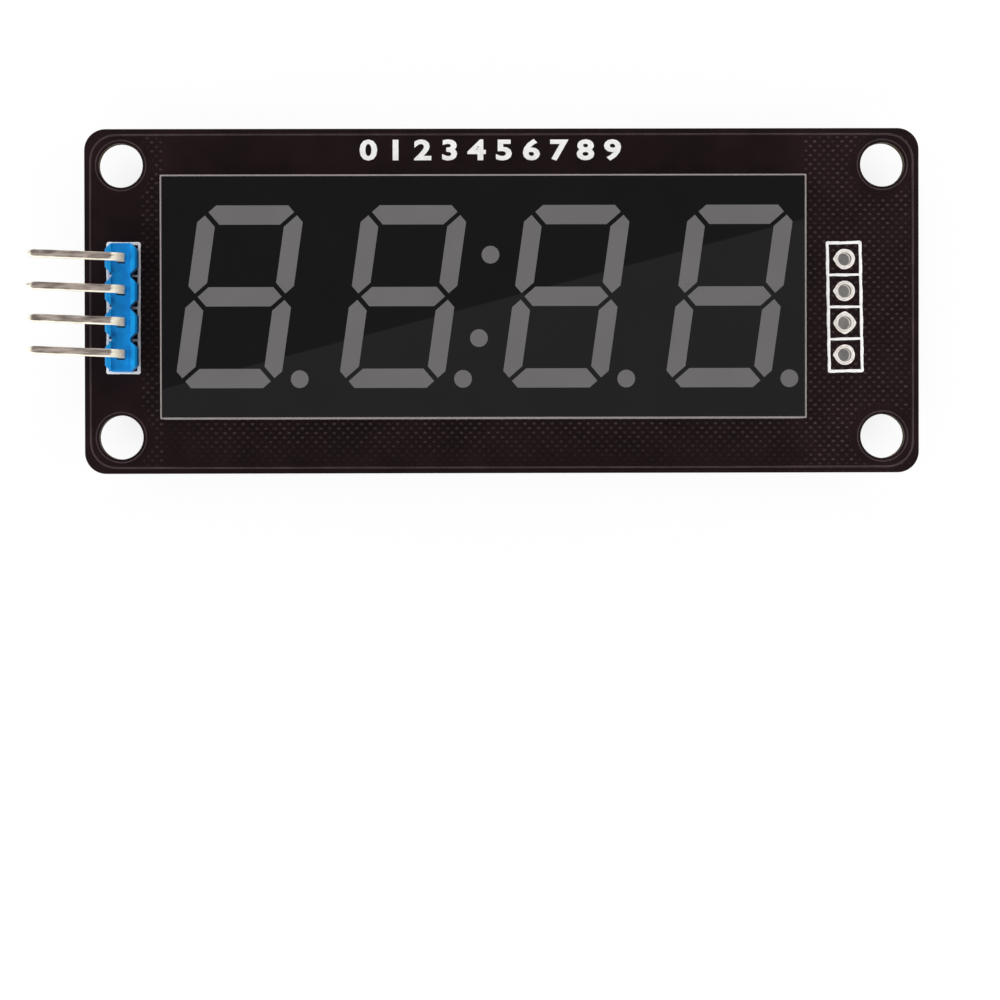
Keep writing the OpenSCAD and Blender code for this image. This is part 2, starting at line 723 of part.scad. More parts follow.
// A pin stands in the block, bends over its top and runs out past the edge of the board
module header_pin(i) {
    place = HEADER_PLACES[i - 1];
    color([0.78, 0.75, 0.68]) translate([place.x, place.y, 0]) rotate([0, 0, -header_lean]) {
        translate([0, 0, bend_z]) rotate([0, 90, 0]) pin_point(bend_z + header_tail);
        translate([-bend_mid_r, 0, bend_z]) rotate([90, 0, 0]) rotate_extrude(angle = 90)
            translate([header_bend_r, -header_pin_w / 2]) square(header_pin_w);
        translate([-bend_mid_r, 0, header_run_z]) rotate([0, 0, 180])
            pin_point(header_reach - bend_mid_r);
    }
}

module header_pads() {
    color([0.75, 0.75, 0.72]) for (p = HEADER_PLACES) translate([p.x, p.y, 0])
        eyelet(header_pad_d, header_hole_d);
}

module header_solder() {
    color([0.8, 0.8, 0.79]) for (p = HEADER_PLACES) translate([p.x, p.y, 0]) difference() {
        rotate_extrude() polygon(joint_outline(header_pad_d / 2, header_hole_d / 2,
            header_pin_w / sqrt(2) + copper_t, header_joint_h));
        rotate([0, 0, -header_lean])
            slab([header_pin_w, header_pin_w, board_t + header_tail + 2 * over], -header_tail);
    }
}

module spare_pads() {
    color([0.75, 0.75, 0.72]) for (p = SPARE_PLACES) translate([p.x, p.y, 0])
        eyelet(header_pad_d, header_hole_d);
}

// Display

// Reflector shell: a block with a light well for every bar and dot, and a rear recess
module display_shell() {
    color([0.85, 0.84, 0.82]) difference() {
        translate([display_x, display_y, 0]) slab([display_l, display_w, print_base - board_t], board_t);
        translate([display_x, display_y, 0])
            slab([recess_l, recess_w, recess_top - board_t + over], board_t - over);
        wells(print_base);
    }
}

module display_face() {
    color([0.1, 0.1, 0.1]) difference() {
        translate([display_x, display_y, 0])
            slab([display_l - 2 * face_rim, display_w - 2 * face_rim, face_print_t], print_base);
        mouths(print_base - over, display_top + over);
    }
}

// The resin is cast in one: it fills the wells up to the face and seals the recess
module display_resin() {
    color([0.55, 0.54, 0.54]) difference() {
        union() {
            translate([display_x, display_y, 0])
                slab([recess_l, recess_w, recess_top - resin_base], resin_base);
            wells(print_base);
            mouths(print_base, display_top);
        }
        translate([display_x, display_y, 0])
            slab([die_board_l, die_board_w, die_board_t], die_board_base);
        dies();
        pin_shafts(0);
    }
}

// Straight shafts of the display pins, from the top of the die board down to a level
module pin_shafts(base) {
    for (p = DISPLAY_PINS) translate([p.x, p.y, base])
        cylinder(h = die_board_top - base, d = display_pin_d);
}

module display_die_board() {
    color([0.75, 0.72, 0.5]) difference() {
        translate([display_x, display_y, 0])
            slab([die_board_l, die_board_w, die_board_t], die_board_base);
        for (p = DISPLAY_PINS) translate([p.x, p.y, die_board_base - over])
            cylinder(h = die_board_t + 2 * over, d = display_pin_d);
    }
}

module dies() {
    for (p = concat(BAR_PLACES, DOTS)) translate([p.x, display_y + p.y, 0])
        slab([die_side, die_side, die_h], die_board_top);
}

module display_dies() {
    color([0.9, 0.75, 0.3]) dies();
}

module display_pins() {
    color([0.78, 0.77, 0.74]) pin_shafts(-display_pin_tail);
}

module display_pads() {
    color([0.75, 0.75, 0.72]) for (p = DISPLAY_PINS) translate([p.x, p.y, 0])
        eyelet(display_pad_d, display_hole_d);
}

module display_solder() {
    color([0.8, 0.8, 0.79]) for (p = DISPLAY_PINS) translate([p.x, p.y, 0]) difference() {
        rotate_extrude() polygon(joint_outline(display_pad_d / 2, display_hole_d / 2,
            display_pin_d / 2 + copper_t, display_joint_h));
        translate([0, 0, -display_pin_tail])
            cylinder(h = board_t + display_pin_tail + over, d = display_pin_d);
    }
}

// Driver chip

// Sends each child to every lead's place on both sides of the chip
module at_chip_leads() {
    translate([chip_x, chip_y, 0]) for (side = [0, 180]) rotate([0, 0, side])
        for (i = [0:chip_per_side - 1])
            translate([(i - (chip_per_side - 1) / 2) * chip_pitch, 0, 0]) children();
}

// One lead, standing out towards +y and bent away from the board's rear face
module chip_lead() {
    rotate([0, 90, 0]) rotate([0, 0, 90]) translate([0, 0, -chip_lead_w / 2])
        linear_extrude(chip_lead_w) polygon([for (p = lead_outline()) [p.x, -p.y]]);
}

module driver_chip_leads() {
    color([0.8, 0.8, 0.78]) at_chip_leads() chip_lead();
}

// Side view of the moulded body: it narrows from the parting line to both flat faces
function body_outline(width) = [
    [-width / 2 + chip_draft, -chip_standoff], [width / 2 - chip_draft, -chip_standoff],
    [width / 2, -chip_lead_level], [width / 2 - chip_draft, -chip_standoff - chip_body_h],
    [-width / 2 + chip_draft, -chip_standoff - chip_body_h], [-width / 2, -chip_lead_level]
];

module driver_chip_body() {
    dimple = [chip_body_l / 2 - dimple_end, dimple_side - chip_body_w / 2];
    color([0.15, 0.13, 0.12]) difference() {
        translate([chip_x, chip_y, 0]) difference() {
            intersection() {
                rotate([90, 0, 0]) translate([0, 0, -chip_body_w / 2])
                    linear_extrude(chip_body_w) polygon(body_outline(chip_body_l));
                rotate([90, 0, 90]) translate([0, 0, -chip_body_l / 2])
                    linear_extrude(chip_body_l) polygon(body_outline(chip_body_w));
            }
            translate([dimple.x, dimple.y, -chip_standoff - chip_body_h - over])
                cylinder(h = dimple_depth + over, d = dimple_d);
        }
        at_chip_leads() chip_lead();
        driver_chip_paddle();
        driver_chip_die();
    }
}

module driver_chip_paddle() {
    color([0.75, 0.5, 0.3]) translate([chip_x, chip_y, 0])
        rear_slab([paddle_l, paddle_w, chip_lead_t], chip_lead_level - chip_lead_t / 2);
}

module driver_chip_die() {
    color([0.5, 0.5, 0.55]) translate([chip_x, chip_y, 0])
        rear_slab([chip_die_l, chip_die_w, chip_die_t], chip_lead_level + chip_lead_t / 2);
}

// A rectangle with a round outer end, from the heel to the toe of a chip pad
module pad_outline(width) {
    translate([-width / 2, chip_pad_in]) square([width, chip_pad_out - chip_pad_in - width / 2]);
    translate([0, chip_pad_out - width / 2]) circle(d = width);
}

module driver_chip_pads() {
    color([0.75, 0.75, 0.72]) at_chip_leads()
        translate([0, 0, -copper_t]) linear_extrude(copper_t) pad_outline(chip_pad_w);
}

// A bead of solder over each foot: a flat arch along the pad, round at the toe
module driver_chip_solder() {
    bead_w = chip_pad_w - copper_t;
    arch_r = (pow(bead_w / 2, 2) + pow(chip_bead_h, 2)) / (2 * chip_bead_h);
    color([0.8, 0.8, 0.79]) difference() {
        at_chip_leads() intersection() {
            translate([0, 0, -copper_t - chip_bead_h]) linear_extrude(chip_bead_h) pad_outline(bead_w);
            translate([0, 0, arch_r - copper_t - chip_bead_h]) rotate([-90, 0, 0])
                cylinder(h = chip_pad_out + over, r = arch_r);
        }
        at_chip_leads() chip_lead();
    }
}

module via_ring() {
    color([0.75, 0.5, 0.3]) translate([via_place.x, via_place.y, 0]) eyelet(via_d, via_hole_d);
}

// Small parts, each seated on its two pads

// Sends its child to the place of a small part, on the face of its pads
module at_cell(cell) {
    translate([cell_place(cell).x, cell_place(cell).y, -copper_t]) children();
}

// The block of a small part inside its caps
module small_core(h) {
    rear_slab([small_w - 2 * cap_t, small_l - 2 * cap_t, h - 2 * cap_t], cap_t);
}

// The metal caps of a small part, which wrap both ends of its block
module small_caps(h) {
    difference() {
        for (side = [1, -1]) translate([0, side * (small_l - cap_l) / 2, 0])
            rear_slab([small_w, cap_l, h]);
        small_core(h);
    }
}

module capacitor_body(i) {
    color([0.68, 0.54, 0.4]) at_cell(CAPACITOR_CELLS[i - 1]) small_core(capacitor_h);
}

module capacitor_caps(i) {
    color([0.8, 0.8, 0.78]) at_cell(CAPACITOR_CELLS[i - 1]) small_caps(capacitor_h);
}

module resistor_body(i) {
    color([0.9, 0.89, 0.86]) at_cell(RESISTOR_CELLS[i - 1]) small_core(resistor_h);
}

// The coat covers the resistor's outer face between its caps
module resistor_coat(i) {
    color([0.12, 0.11, 0.11]) at_cell(RESISTOR_CELLS[i - 1])
        rear_slab([small_w - 2 * cap_t, small_l - 2 * cap_l, coat_t], resistor_h - cap_t);
}

module resistor_caps(i) {
    color([0.8, 0.8, 0.78]) at_cell(RESISTOR_CELLS[i - 1]) small_caps(resistor_h);
}

module power_led_base() {
    color([0.92, 0.92, 0.88]) at_cell(LED_CELL) small_core(led_base_h);
}

module power_led_caps() {
    color([0.8, 0.8, 0.78]) at_cell(LED_CELL) small_caps(led_base_h);
}

// The lens narrows from the base to its flat top: both side views are cut to a trapezoid
module power_led_lens() {
    l = small_l - 2 * cap_l;
    w = small_w - 2 * cap_t;
    base = led_base_h - cap_t;
    top = base + led_lens_h;
    color([0.8, 0.9, 0.85]) at_cell(LED_CELL) difference() {
        intersection() {
            rotate([90, 0, 0]) translate([0, 0, -l / 2]) linear_extrude(l) polygon([
                [-w / 2, -base], [w / 2, -base],
                [w / 2 - led_lens_taper, -top], [led_lens_taper - w / 2, -top]
            ]);
            rotate([90, 0, 90]) translate([0, 0, -w / 2]) linear_extrude(w) polygon([
                [-l / 2, -base], [l / 2, -base],
                [l / 2 - led_lens_taper, -top], [led_lens_taper - l / 2, -top]
            ]);
        }
        rear_slab([led_die_side, led_die_side, led_die_side / 2], base);
    }
}

module power_led_die() {
    color([0.95, 0.85, 0.4]) at_cell(LED_CELL)
        rear_slab([led_die_side, led_die_side, led_die_side / 2], led_base_h - cap_t);
}

module small_pads() {
    color([0.75, 0.75, 0.72]) for (cell = SMALL_CELLS, side = [1, -1])
        translate([cell_place(cell).x, cell_place(cell).y, 0])
        translate([0, side * (small_l / 2 - cap_l + small_pad_l / 2), 0])
            rear_slab([small_pad_w, small_pad_l, copper_t]);
}

// A hollow fillet of solder from the pad up the end of each cap
module small_solder() {
    r = small_pad_toe;
    fillet = concat([[0, 0], [0, -small_joint_h]],
        [for (i = [1:arc_steps]) let (a = 90 * i / arc_steps)
            [r * (1 - cos(a)), -small_joint_h * (1 - sin(a))]]);
    color([0.8, 0.8, 0.79]) for (cell = SMALL_CELLS, side = [0, 180])
        at_cell(cell) rotate([0, 0, side]) translate([-small_w / 2, small_l / 2, 0])
            rotate([90, 0, 90]) linear_extrude(small_w) polygon(fillet);
}

circuit_board();
front_silkscreen();
rear_silkscreen();
legend_squares();
legend_mark();
header_block();
header_pads();
header_solder();
spare_pads();
for (i = [1:header_pins])
    header_pin(i);
display_shell();
display_face();
display_resin();
display_die_board();
display_dies();
display_pins();
display_pads();
display_solder();
driver_chip_body();
driver_chip_leads();
driver_chip_paddle();
driver_chip_die();
driver_chip_pads();
driver_chip_solder();
via_ring();
small_pads();
small_solder();
power_led_base();
power_led_lens();
power_led_die();
power_led_caps();
for (i = [1:capacitor_count]) {
    capacitor_body(i);
    capacitor_caps(i);
}
for (i = [1:resistor_count]) {
    resistor_body(i);
    resistor_coat(i);
    resistor_caps(i);
}
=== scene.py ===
# %% [markdown]
# # Seven segment display module
# A black circuit board carries a four digit clock display, a bent pin header and, on its rear,
# a driver chip with small soldered parts. The sizes come from the CAD nodes, which stay where
# they are; this script gives every node its surface and adds what is too fine for the CAD.

import json
from functools import reduce
from math import cos, pi, radians, sin

import bmesh
import bpy
import numpy as np
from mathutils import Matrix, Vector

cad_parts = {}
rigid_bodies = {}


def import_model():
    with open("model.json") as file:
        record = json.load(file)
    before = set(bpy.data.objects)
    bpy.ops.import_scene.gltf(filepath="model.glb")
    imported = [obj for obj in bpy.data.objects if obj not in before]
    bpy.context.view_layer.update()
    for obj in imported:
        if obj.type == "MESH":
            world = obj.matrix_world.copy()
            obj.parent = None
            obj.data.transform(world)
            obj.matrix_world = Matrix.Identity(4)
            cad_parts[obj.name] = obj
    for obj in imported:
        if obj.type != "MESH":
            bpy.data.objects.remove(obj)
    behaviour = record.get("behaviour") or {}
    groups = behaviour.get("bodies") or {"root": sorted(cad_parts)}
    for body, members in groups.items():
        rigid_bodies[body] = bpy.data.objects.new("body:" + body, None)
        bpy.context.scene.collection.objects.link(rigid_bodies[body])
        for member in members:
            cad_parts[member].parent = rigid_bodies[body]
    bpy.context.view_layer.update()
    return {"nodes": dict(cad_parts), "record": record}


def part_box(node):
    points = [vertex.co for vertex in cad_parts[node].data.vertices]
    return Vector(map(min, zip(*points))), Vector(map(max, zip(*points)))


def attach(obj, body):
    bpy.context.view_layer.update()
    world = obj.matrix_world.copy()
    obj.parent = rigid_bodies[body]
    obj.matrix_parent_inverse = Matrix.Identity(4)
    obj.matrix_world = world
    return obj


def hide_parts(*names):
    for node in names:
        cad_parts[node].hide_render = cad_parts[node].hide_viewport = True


for leftover in list(bpy.data.objects):
    bpy.data.objects.remove(leftover, do_unlink=True)
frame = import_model()
nodes = frame["nodes"]
MM = 0.001
chance = np.random.default_rng(7)


def corners(node):
    """Low and high corner of a CAD node, in millimetres."""
    lo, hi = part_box(node)
    return np.array(lo) / MM, np.array(hi) / MM


board_lo, board_hi = corners("circuit_board")
face_hi = corners("display_face")[1]
floor_z = corners("driver_chip_body")[0][2]
front_z, rear_z = board_hi[2], board_lo[2]

# %% [markdown]
# ## Shader helpers
# Every surface is built from nodes, so that it can be made again at any size. Wiring each socket
# by hand would bury the idea, so short functions name the few things that the material cells do:
# add a node, mix two colours, do a sum, fade from one value to another, measure a distance.


# %% Shader helpers
def linear(*rgb):
    """Linear colour of an sRGB colour in 0..255: ((c + 0.055) / 1.055) ** 2.4, or c / 12.92 near black."""
    c = np.array(rgb, float) / 255
    c = np.where(c > 0.04045, ((c + 0.055) / 1.055) ** 2.4, c / 12.92)
    return (*c.tolist(), 1.0)


def put(tree, kind, **given):
    """Adds a shader node. A given socket is linked, any other value is set; in_2 is input number 2."""
    made = tree.nodes.new("ShaderNode" + kind)
    for key, value in given.items():
        if key.startswith("in_"):
            target = made.inputs[int(key[3:])]
        else:
            by_name = {s.name.lower(): s for s in made.inputs}
            target = by_name.get(key.replace("_", " "))
        if target is None:
            setattr(made, key, value)
        elif isinstance(value, bpy.types.NodeSocket):
            tree.links.new(value, target)
        else:
            target.default_value = value
    return made


def mix(tree, factor, a, b):
    """Colour a + (b - a) * factor."""
    return put(tree, "Mix", data_type="RGBA", in_0=factor, in_6=a, in_7=b).outputs[2]


def calc(tree, operation, a, b=0.0, c=0.0):
    """One step of arithmetic on shader values."""
    return put(tree, "Math", operation=operation, in_0=a, in_1=b, in_2=c).outputs[0]


def times(tree, *values):
    """Product of two or more shader values."""
    return reduce(lambda a, b: calc(tree, "MULTIPLY", a, b), values)


def largest(tree, *values):
    """Largest of two or more shader values."""
    return reduce(lambda a, b: calc(tree, "MAXIMUM", a, b), values)


def less(tree, a, b):
    """Difference a - b."""
    return calc(tree, "SUBTRACT", a, b)


def step(tree, value, start, end, low=0.0, high=1.0):
    """Smooth step: low below start, high above end, 3t^2 - 2t^3 between them."""
    return put(tree, "MapRange", interpolation_type="SMOOTHSTEP", in_0=value, in_1=start, in_2=end,
               in_3=low, in_4=high).outputs[0]


def reached(tree, value, start, end, low=0.0, high=1.0):
    """Smooth step of a coordinate whose start and end are in millimetres."""
    return step(tree, value, start * MM, end * MM, low, high)


def within(tree, value, start, end):
    """1 where a coordinate is nearer to zero than start millimetres, 0 past end millimetres."""
    return reached(tree, calc(tree, "ABSOLUTE", value), start, end, 1.0, 0.0)


def from_point(tree, where, point):
    """Distance of a place from a point in millimetres."""
    return put(tree, "VectorMath", operation="DISTANCE", in_0=where,
               in_1=[float(v) * MM for v in point]).outputs["Value"]


def scaled(tree, where, *scale):
    """Coordinates times a scale for each axis; a scale of 0 flattens them along it."""
    return put(tree, "Mapping", vector=where, scale=scale).outputs[0]


def cloud(tree, where, size_mm, detail=2.0):
    """Noise value 0..1 whose patches are about size_mm across."""
    return put(tree, "TexNoise", vector=where, scale=1 / (size_mm * MM), detail=detail).outputs[0]


# %% [markdown]
# ## Surfaces
# Nothing real has one even colour. So each material wanders between a dark and a light tone in
# soft patches, and a fine grain roughens its relief. Pieces that need more than that are opened
# up again further down and get their own pattern on top.


# %% Surfaces
def surface(name, dark, light, patch_mm, rough, specular=0.5, metallic=0.0, grain_mm=0.1, grain=0.1):
    """Material whose colour wanders from dark to light in patches, with fine grain in its relief."""
    made = bpy.data.materials.new(name)
    made.use_nodes = True
    tree, shader, where = opened(made)
    spread = step(tree, cloud(tree, where, patch_mm, 4.0), 0.3, 0.7)
    tree.links.new(mix(tree, spread, linear(*dark), linear(*light)), shader.inputs["Base Color"])
    shader.inputs["Roughness"].default_value = rough
    shader.inputs["Specular IOR Level"].default_value = specular
    shader.inputs["Metallic"].default_value = metallic
    relief = put(tree, "Bump", strength=grain, distance=grain_mm * MM,
                 height=cloud(tree, where, grain_mm, 2.0))
    tree.links.new(relief.outputs[0], shader.inputs["Normal"])
    return made


def opened(material):
    """Node tree, shader node and Object coordinates of a material."""
    tree = material.node_tree
    return tree, tree.nodes["Principled BSDF"], put(tree, "TexCoord").outputs["Object"]


def dress(material, *names):
    """Puts a material on the slots of CAD nodes."""
    for name in names:
        for number in range(len(nodes[name].data.materials)):
            nodes[name].data.materials[number] = material


def shade(material, share, rgb):
    """Mixes a colour into a material by a share 0..1: a socket, or the name of a point attribute."""
    tree = material.node_tree
    base = tree.nodes["Principled BSDF"].inputs["Base Color"]
    if isinstance(share, str):
        share = put(tree, "Attribute", attribute_name=share).outputs["Fac"]
    tree.links.new(mix(tree, share, base.links[0].from_socket, linear(*rgb)), base)


# %% [markdown]
# ## Camera, floor and light
# The photograph looks straight down from far away, a little to the lower left of the middle of
# the board: the raised display stands off its place by a quarter of a millimetre. So the camera
# hangs there and turns by about half a degree, until the board lies where the picture has it.

# %% Camera
px_per_mm, picture_px = 12.57, 1000
board_px = np.array([502.3, 301.0])
eye_above_board, roll = 365.0, radians(-0.12)
sensor_mm = 36.0
eye = np.array([-3.8, -11.6, board_hi[2] + eye_above_board])
focal_px = px_per_mm * eye_above_board
wanted = (board_px - picture_px / 2) * (1, -1)
straight = -eye[:2] * px_per_mm
turn = np.arctan(wanted / focal_px) - np.arctan(straight / focal_px)
lens = bpy.data.cameras.new("camera")
lens.sensor_width = sensor_mm
lens.lens = focal_px * sensor_mm / picture_px
lens.clip_start, lens.clip_end = 0.01, 20.0
camera = bpy.data.objects.new("camera", lens)
camera.location = (eye * MM).tolist()
camera.rotation_euler = (-turn[1], turn[0], roll)
bpy.context.scene.collection.objects.link(camera)
bpy.context.scene.camera = camera
bpy.context.scene.view_settings.view_transform = "Standard"
print("camera at", eye.round(1), "mm, lens", round(lens.lens, 1), "mm, turned", np.degrees(turn).round(2))

# %% [markdown]
# The light is a dim ceiling, one soft card above the camera and soft boxes at the sides; a second
# set lights the rear from below. The glossy face of the display mirrors what hangs over it: one
# edge of the card is laid so that its mirror image crosses the digits as a slanting line.


# %% Light helpers
fade_share, fade_mm = 0.7, 250.0


def glow(name, strength, start=None, down=None):
    """Emission of a plain strength; with a start it falls to a share of it, some way down from there."""
    made = bpy.data.materials.new(name)
    made.use_nodes = True
    tree = made.node_tree
    tree.nodes.clear()
    light = put(tree, "Emission", color=(1, 1, 1, 1), strength=strength)
    if start is not None:
        where = put(tree, "TexCoord").outputs["Object"]
        run = put(tree, "VectorMath", operation="DOT_PRODUCT", in_0=where, in_1=down.tolist())
        at = float(start @ down)
        fade = put(tree, "MapRange", in_0=run.outputs["Value"], in_1=at * MM, in_2=(at + fade_mm) * MM,
                   in_3=strength, in_4=fade_share * strength)
        tree.links.new(fade.outputs[0], light.inputs["Strength"])
    tree.links.new(light.outputs[0], put(tree, "OutputMaterial").inputs[0])
    return made


def sheet(name, points, material):
    """Flat stage piece through points in millimetres."""
    mesh = bpy.data.meshes.new(name)
    mesh.from_pydata((np.array(points) * MM).tolist(), [], [list(range(len(points)))])
    mesh.materials.append(material)
    made = bpy.data.objects.new(name, mesh)
    bpy.context.scene.collection.objects.link(made)
    return made


def card(name, points, *light):
    """Glowing sheet, hidden from the camera itself."""
    sheet(name, points, glow(name, *light)).visible_camera = False


def square(half, z):
    """Corners of a level square round the origin."""
    return [(x, y, z) for x, y in ((-half, -half), (half, -half), (half, half), (-half, half))]


def mirrored(px, py, height):
    """Point at a height that the display face shows at a pixel: P + (P - C) * height / eye height."""
    ray = np.array([px - picture_px / 2, picture_px / 2 - py, -focal_px])
    ray = np.array(camera.rotation_euler.to_matrix()) @ ray
    reach = eye[2] - face_hi[2]
    off = ray[:2] * reach / -ray[2]
    return np.array([*(eye[:2] + off + off * height / reach), face_hi[2] + height])


# %% Light
ceiling_z, ceiling_half = 640.0, 1300.0
box_near, box_far, box_low, box_high, box_half = 420.0, 560.0, 300.0, 480.0, 330.0
card_glow, box_glow, sky_grey = 0.42, 4.2, 0.6
for way, label, ceiling_glow in ((1, "upper", 0.225), (-1, "lower", 0.05)):
    card("ceiling_" + label, square(ceiling_half, way * ceiling_z), ceiling_glow)
    for quarter in range(4):
        a = radians(90 * quarter)
        side, along = np.array([cos(a), sin(a), 0]), box_half * np.array([-sin(a), cos(a), 0])
        foot = box_far * side + (0, 0, way * box_low)
        head = box_near * side + (0, 0, way * box_high)
        card(f"soft_box_{label}_{quarter}", [foot - along, foot + along, head + along, head - along],
             box_glow)

line_left_px, line_right_px = (163, 389), (803, 219)
key_z, key_past, key_deep = 600.0, 250.0, 600.0
left, right = mirrored(*line_left_px, key_z), mirrored(*line_right_px, key_z)
run = (right - left) / np.linalg.norm(right - left)
down = np.array([run[1], -run[0], 0])
ends = [left - key_past * run, right + key_past * run]
card("key_card", ends + [end + key_deep * down for end in ends[::-1]], card_glow, left, down)

world = bpy.data.worlds.new("world")
bpy.context.scene.world = world
world.use_nodes = True
sky = world.node_tree
rays = put(sky, "LightPath").outputs
seen = largest(sky, rays["Is Camera Ray"], rays["Is Glossy Ray"], rays["Is Transmission Ray"])
colour = mix(sky, seen, (sky_grey, sky_grey, sky_grey, 1), (1, 1, 1, 1))
sky.links.new(colour, sky.nodes["Background"].inputs["Color"])
print("slanting line", round(np.degrees(np.arctan2(run[1], run[0])), 1), "degrees to the board")

# %% [markdown]
# The floor is white and keeps the shadow. A photographer's white table outshines the shadow of
# such a flat thing, and so does this one: the camera sees mostly its own glow, except in a soft
# patch below the board and a strip below the spare holes. Seen from below it lets the eye and the
# lower light through, so the rear of the module can be looked at. Light that has come only a few
# millimetres from the module passes too, so the table doesn't brighten what hangs close above it.

# %% Floor
paper_white, glow_share, near_ray = 0.93, 0.9, 9.0
patch_x, patch_y = (22.0, 32.5), (3.0, 13.2)
strip_x, strip_half_w, strip_half_l = 27.2, 1.2, 5.8
paper = bpy.data.materials.new("floor")
paper.use_nodes = True
tree = paper.node_tree
tree.nodes.clear()
rays = put(tree, "LightPath").outputs
x, y, _ = put(tree, "SeparateXYZ", vector=put(tree, "TexCoord").outputs["Object"]).outputs
white = put(tree, "BsdfDiffuse", color=(paper_white, paper_white, paper_white, 1))
lit = put(tree, "Emission", color=(1, 1, 1, 1), strength=1.0)
patch = times(tree, within(tree, x, *patch_x), within(tree, y, *patch_y))
strip = [calc(tree, "LESS_THAN", calc(tree, "ABSOLUTE", v), half * MM)
         for v, half in ((less(tree, x, strip_x * MM), strip_half_w), (y, strip_half_l))]
under = largest(tree, patch, times(tree, *strip))
share = largest(tree, times(tree, rays["Is Camera Ray"], less(tree, glow_share, under)), 0.0)
top = put(tree, "MixShader", in_0=share, in_1=white.outputs[0], in_2=lit.outputs[0])
short = times(tree, calc(tree, "LESS_THAN", rays["Ray Length"], near_ray * MM),
              less(tree, 1.0, rays["Is Camera Ray"]))
behind = largest(tree, put(tree, "NewGeometry").outputs["Backfacing"], short)
both = put(tree, "MixShader", in_0=behind, in_1=top.outputs[0],
           in_2=put(tree, "BsdfTransparent").outputs[0])
tree.links.new(both.outputs[0], put(tree, "OutputMaterial").inputs[0])
sheet("floor", square(4000.0, floor_z), paper)
print("floor at", round(floor_z, 2), "mm")

# %% [markdown]
# ## Materials of the nodes
# Each CAD node gets a surface of its own kind, the hidden ones too. The display is a grey
# moulded shell with a printed black face; cast resin fills its windows and hides the dies. The
# face is smooth as glass, so its reflection has a sharp edge; the inks and the resin are dull.

# %% Plastics and prints
ink = surface("white_ink", (242, 241, 239), (253, 253, 252), 0.5, 0.6, 0.2, grain_mm=0.06, grain=0.3)
dress(ink, "front_silkscreen", "rear_silkscreen")
dress(surface("grey_ink", (130, 130, 128), (140, 140, 138), 0.4, 0.6, 0.2), "legend_squares")
dress(surface("red_ink", (232, 0, 0), (242, 0, 0), 0.4, 0.6, 0.02), "legend_mark")
dress(surface("shell_grey", (132, 125, 124), (139, 132, 130), 1.5, 0.45, 0.3), "display_shell")
dress(surface("face_black", (1, 1, 1), (3, 3, 3), 6.0, 0.008, 0.5, grain=0.0), "display_face")
dress(surface("segment_resin", (92, 90, 91), (95, 93, 94), 4.0, 0.35, 0.2, grain=0.05), "display_resin")
dress(surface("die_board", (190, 180, 120), (205, 196, 140), 2.0, 0.5), "display_die_board")
dress(surface("led_die", (214, 160, 90), (235, 190, 120), 0.2, 0.3), "display_dies", "power_led_die")
print("inks and plastics:", len(bpy.data.materials), "materials with the lights")

# %% [markdown]
# The metals are tin, solder, gold plate and copper. Bare ones are fully metallic; those that a
# film dulls, such as the leads and the copper ring, are only partly so, which keeps them pale
# where nothing bright is there for them to mirror.

# %% Metals
four, three = range(1, 5), range(1, 4)
capacitors = [f"capacitor_{i}_body" for i in four]
resistors = [f"resistor_{i}_body" for i in three]
dress(surface("plating", (196, 186, 176), (226, 220, 210), 0.5, 0.3, metallic=1.0),
      "header_pads", "spare_pads", "display_pads", "driver_chip_pads", "small_pads")
dress(surface("solder", (176, 174, 170), (232, 230, 224), 0.3, 0.22, metallic=1.0),
      "header_solder", "display_solder", "driver_chip_solder", "small_solder")
dress(surface("lead_metal", (206, 200, 186), (246, 240, 226), 0.3, 0.35, metallic=0.35),
      "display_pins", "driver_chip_leads")
dress(surface("copper", (172, 118, 84), (206, 154, 116), 0.4, 0.35, metallic=0.3),
      "driver_chip_paddle", "via_ring")
dress(surface("cap_metal", (190, 188, 182), (235, 233, 228), 0.25, 0.28, metallic=1.0),
      "power_led_caps", *[f"capacitor_{i}_caps" for i in four], *[f"resistor_{i}_caps" for i in three])
print("metals on", sum(len(o.data.materials) for o in nodes.values()), "slots of the nodes")

# %% [markdown]
# The chip is dark epoxy with a matte top. Its drafted sides fall away from the light and are
# darkened as painted shade, a paler line follows the edge of the top, and a smooth dimple marks
# the first lead, painted near black as the shade in its hollow. All three follow from one
# distance each: how far a point lies past the flat top, or from the dimple's middle.

# %% Chip
mould = surface("chip_mould", (31, 21, 18), (42, 31, 27), 0.4, 0.6, 0.12, grain_mm=0.08, grain=0.5)
tree, shader, where = opened(mould)
chip_lo, chip_hi = corners("driver_chip_body")
top_half = (6.13, 3.37)
dimple = (chip_hi[0] - 1.03, chip_lo[1] + 1.46, 0.0)
past = [less(tree, calc(tree, "ABSOLUTE", less(tree, v, m * MM)), h * MM)
        for v, m, h in zip(put(tree, "SeparateXYZ", vector=where).outputs,
                           ((chip_lo + chip_hi) / 2).tolist(), top_half)]
past = largest(tree, *past)
# Painted shade: the drafted sides are darkened where they fall away from the light.
shade(mould, reached(tree, past, 0.0, 0.06, 0.0, 0.75), (10, 6, 6))
# A paler line just inside the edge of the top.
line = times(tree, reached(tree, past, -0.1, -0.05), reached(tree, past, -0.02, 0.03, 1.0, 0.0), 0.8)
shade(mould, line, (72, 64, 56))
off = from_point(tree, scaled(tree, where, 1.0, 1.0, 0.0), dimple)
# Painted shade: the hollow of the dimple is coloured near black.
shade(mould, reached(tree, off, 0.38, 0.48, 1.0, 0.0), (2, 1, 1))
tree.links.new(reached(tree, off, 0.4, 0.5, 1.0, 0.6), shader.inputs["Roughness"])
dress(mould, "driver_chip_body")
dress(surface("silicon", (60, 60, 72), (90, 92, 104), 0.5, 0.15, metallic=0.6), "driver_chip_die")
print("chip", (chip_hi - chip_lo).round(2), "mm")

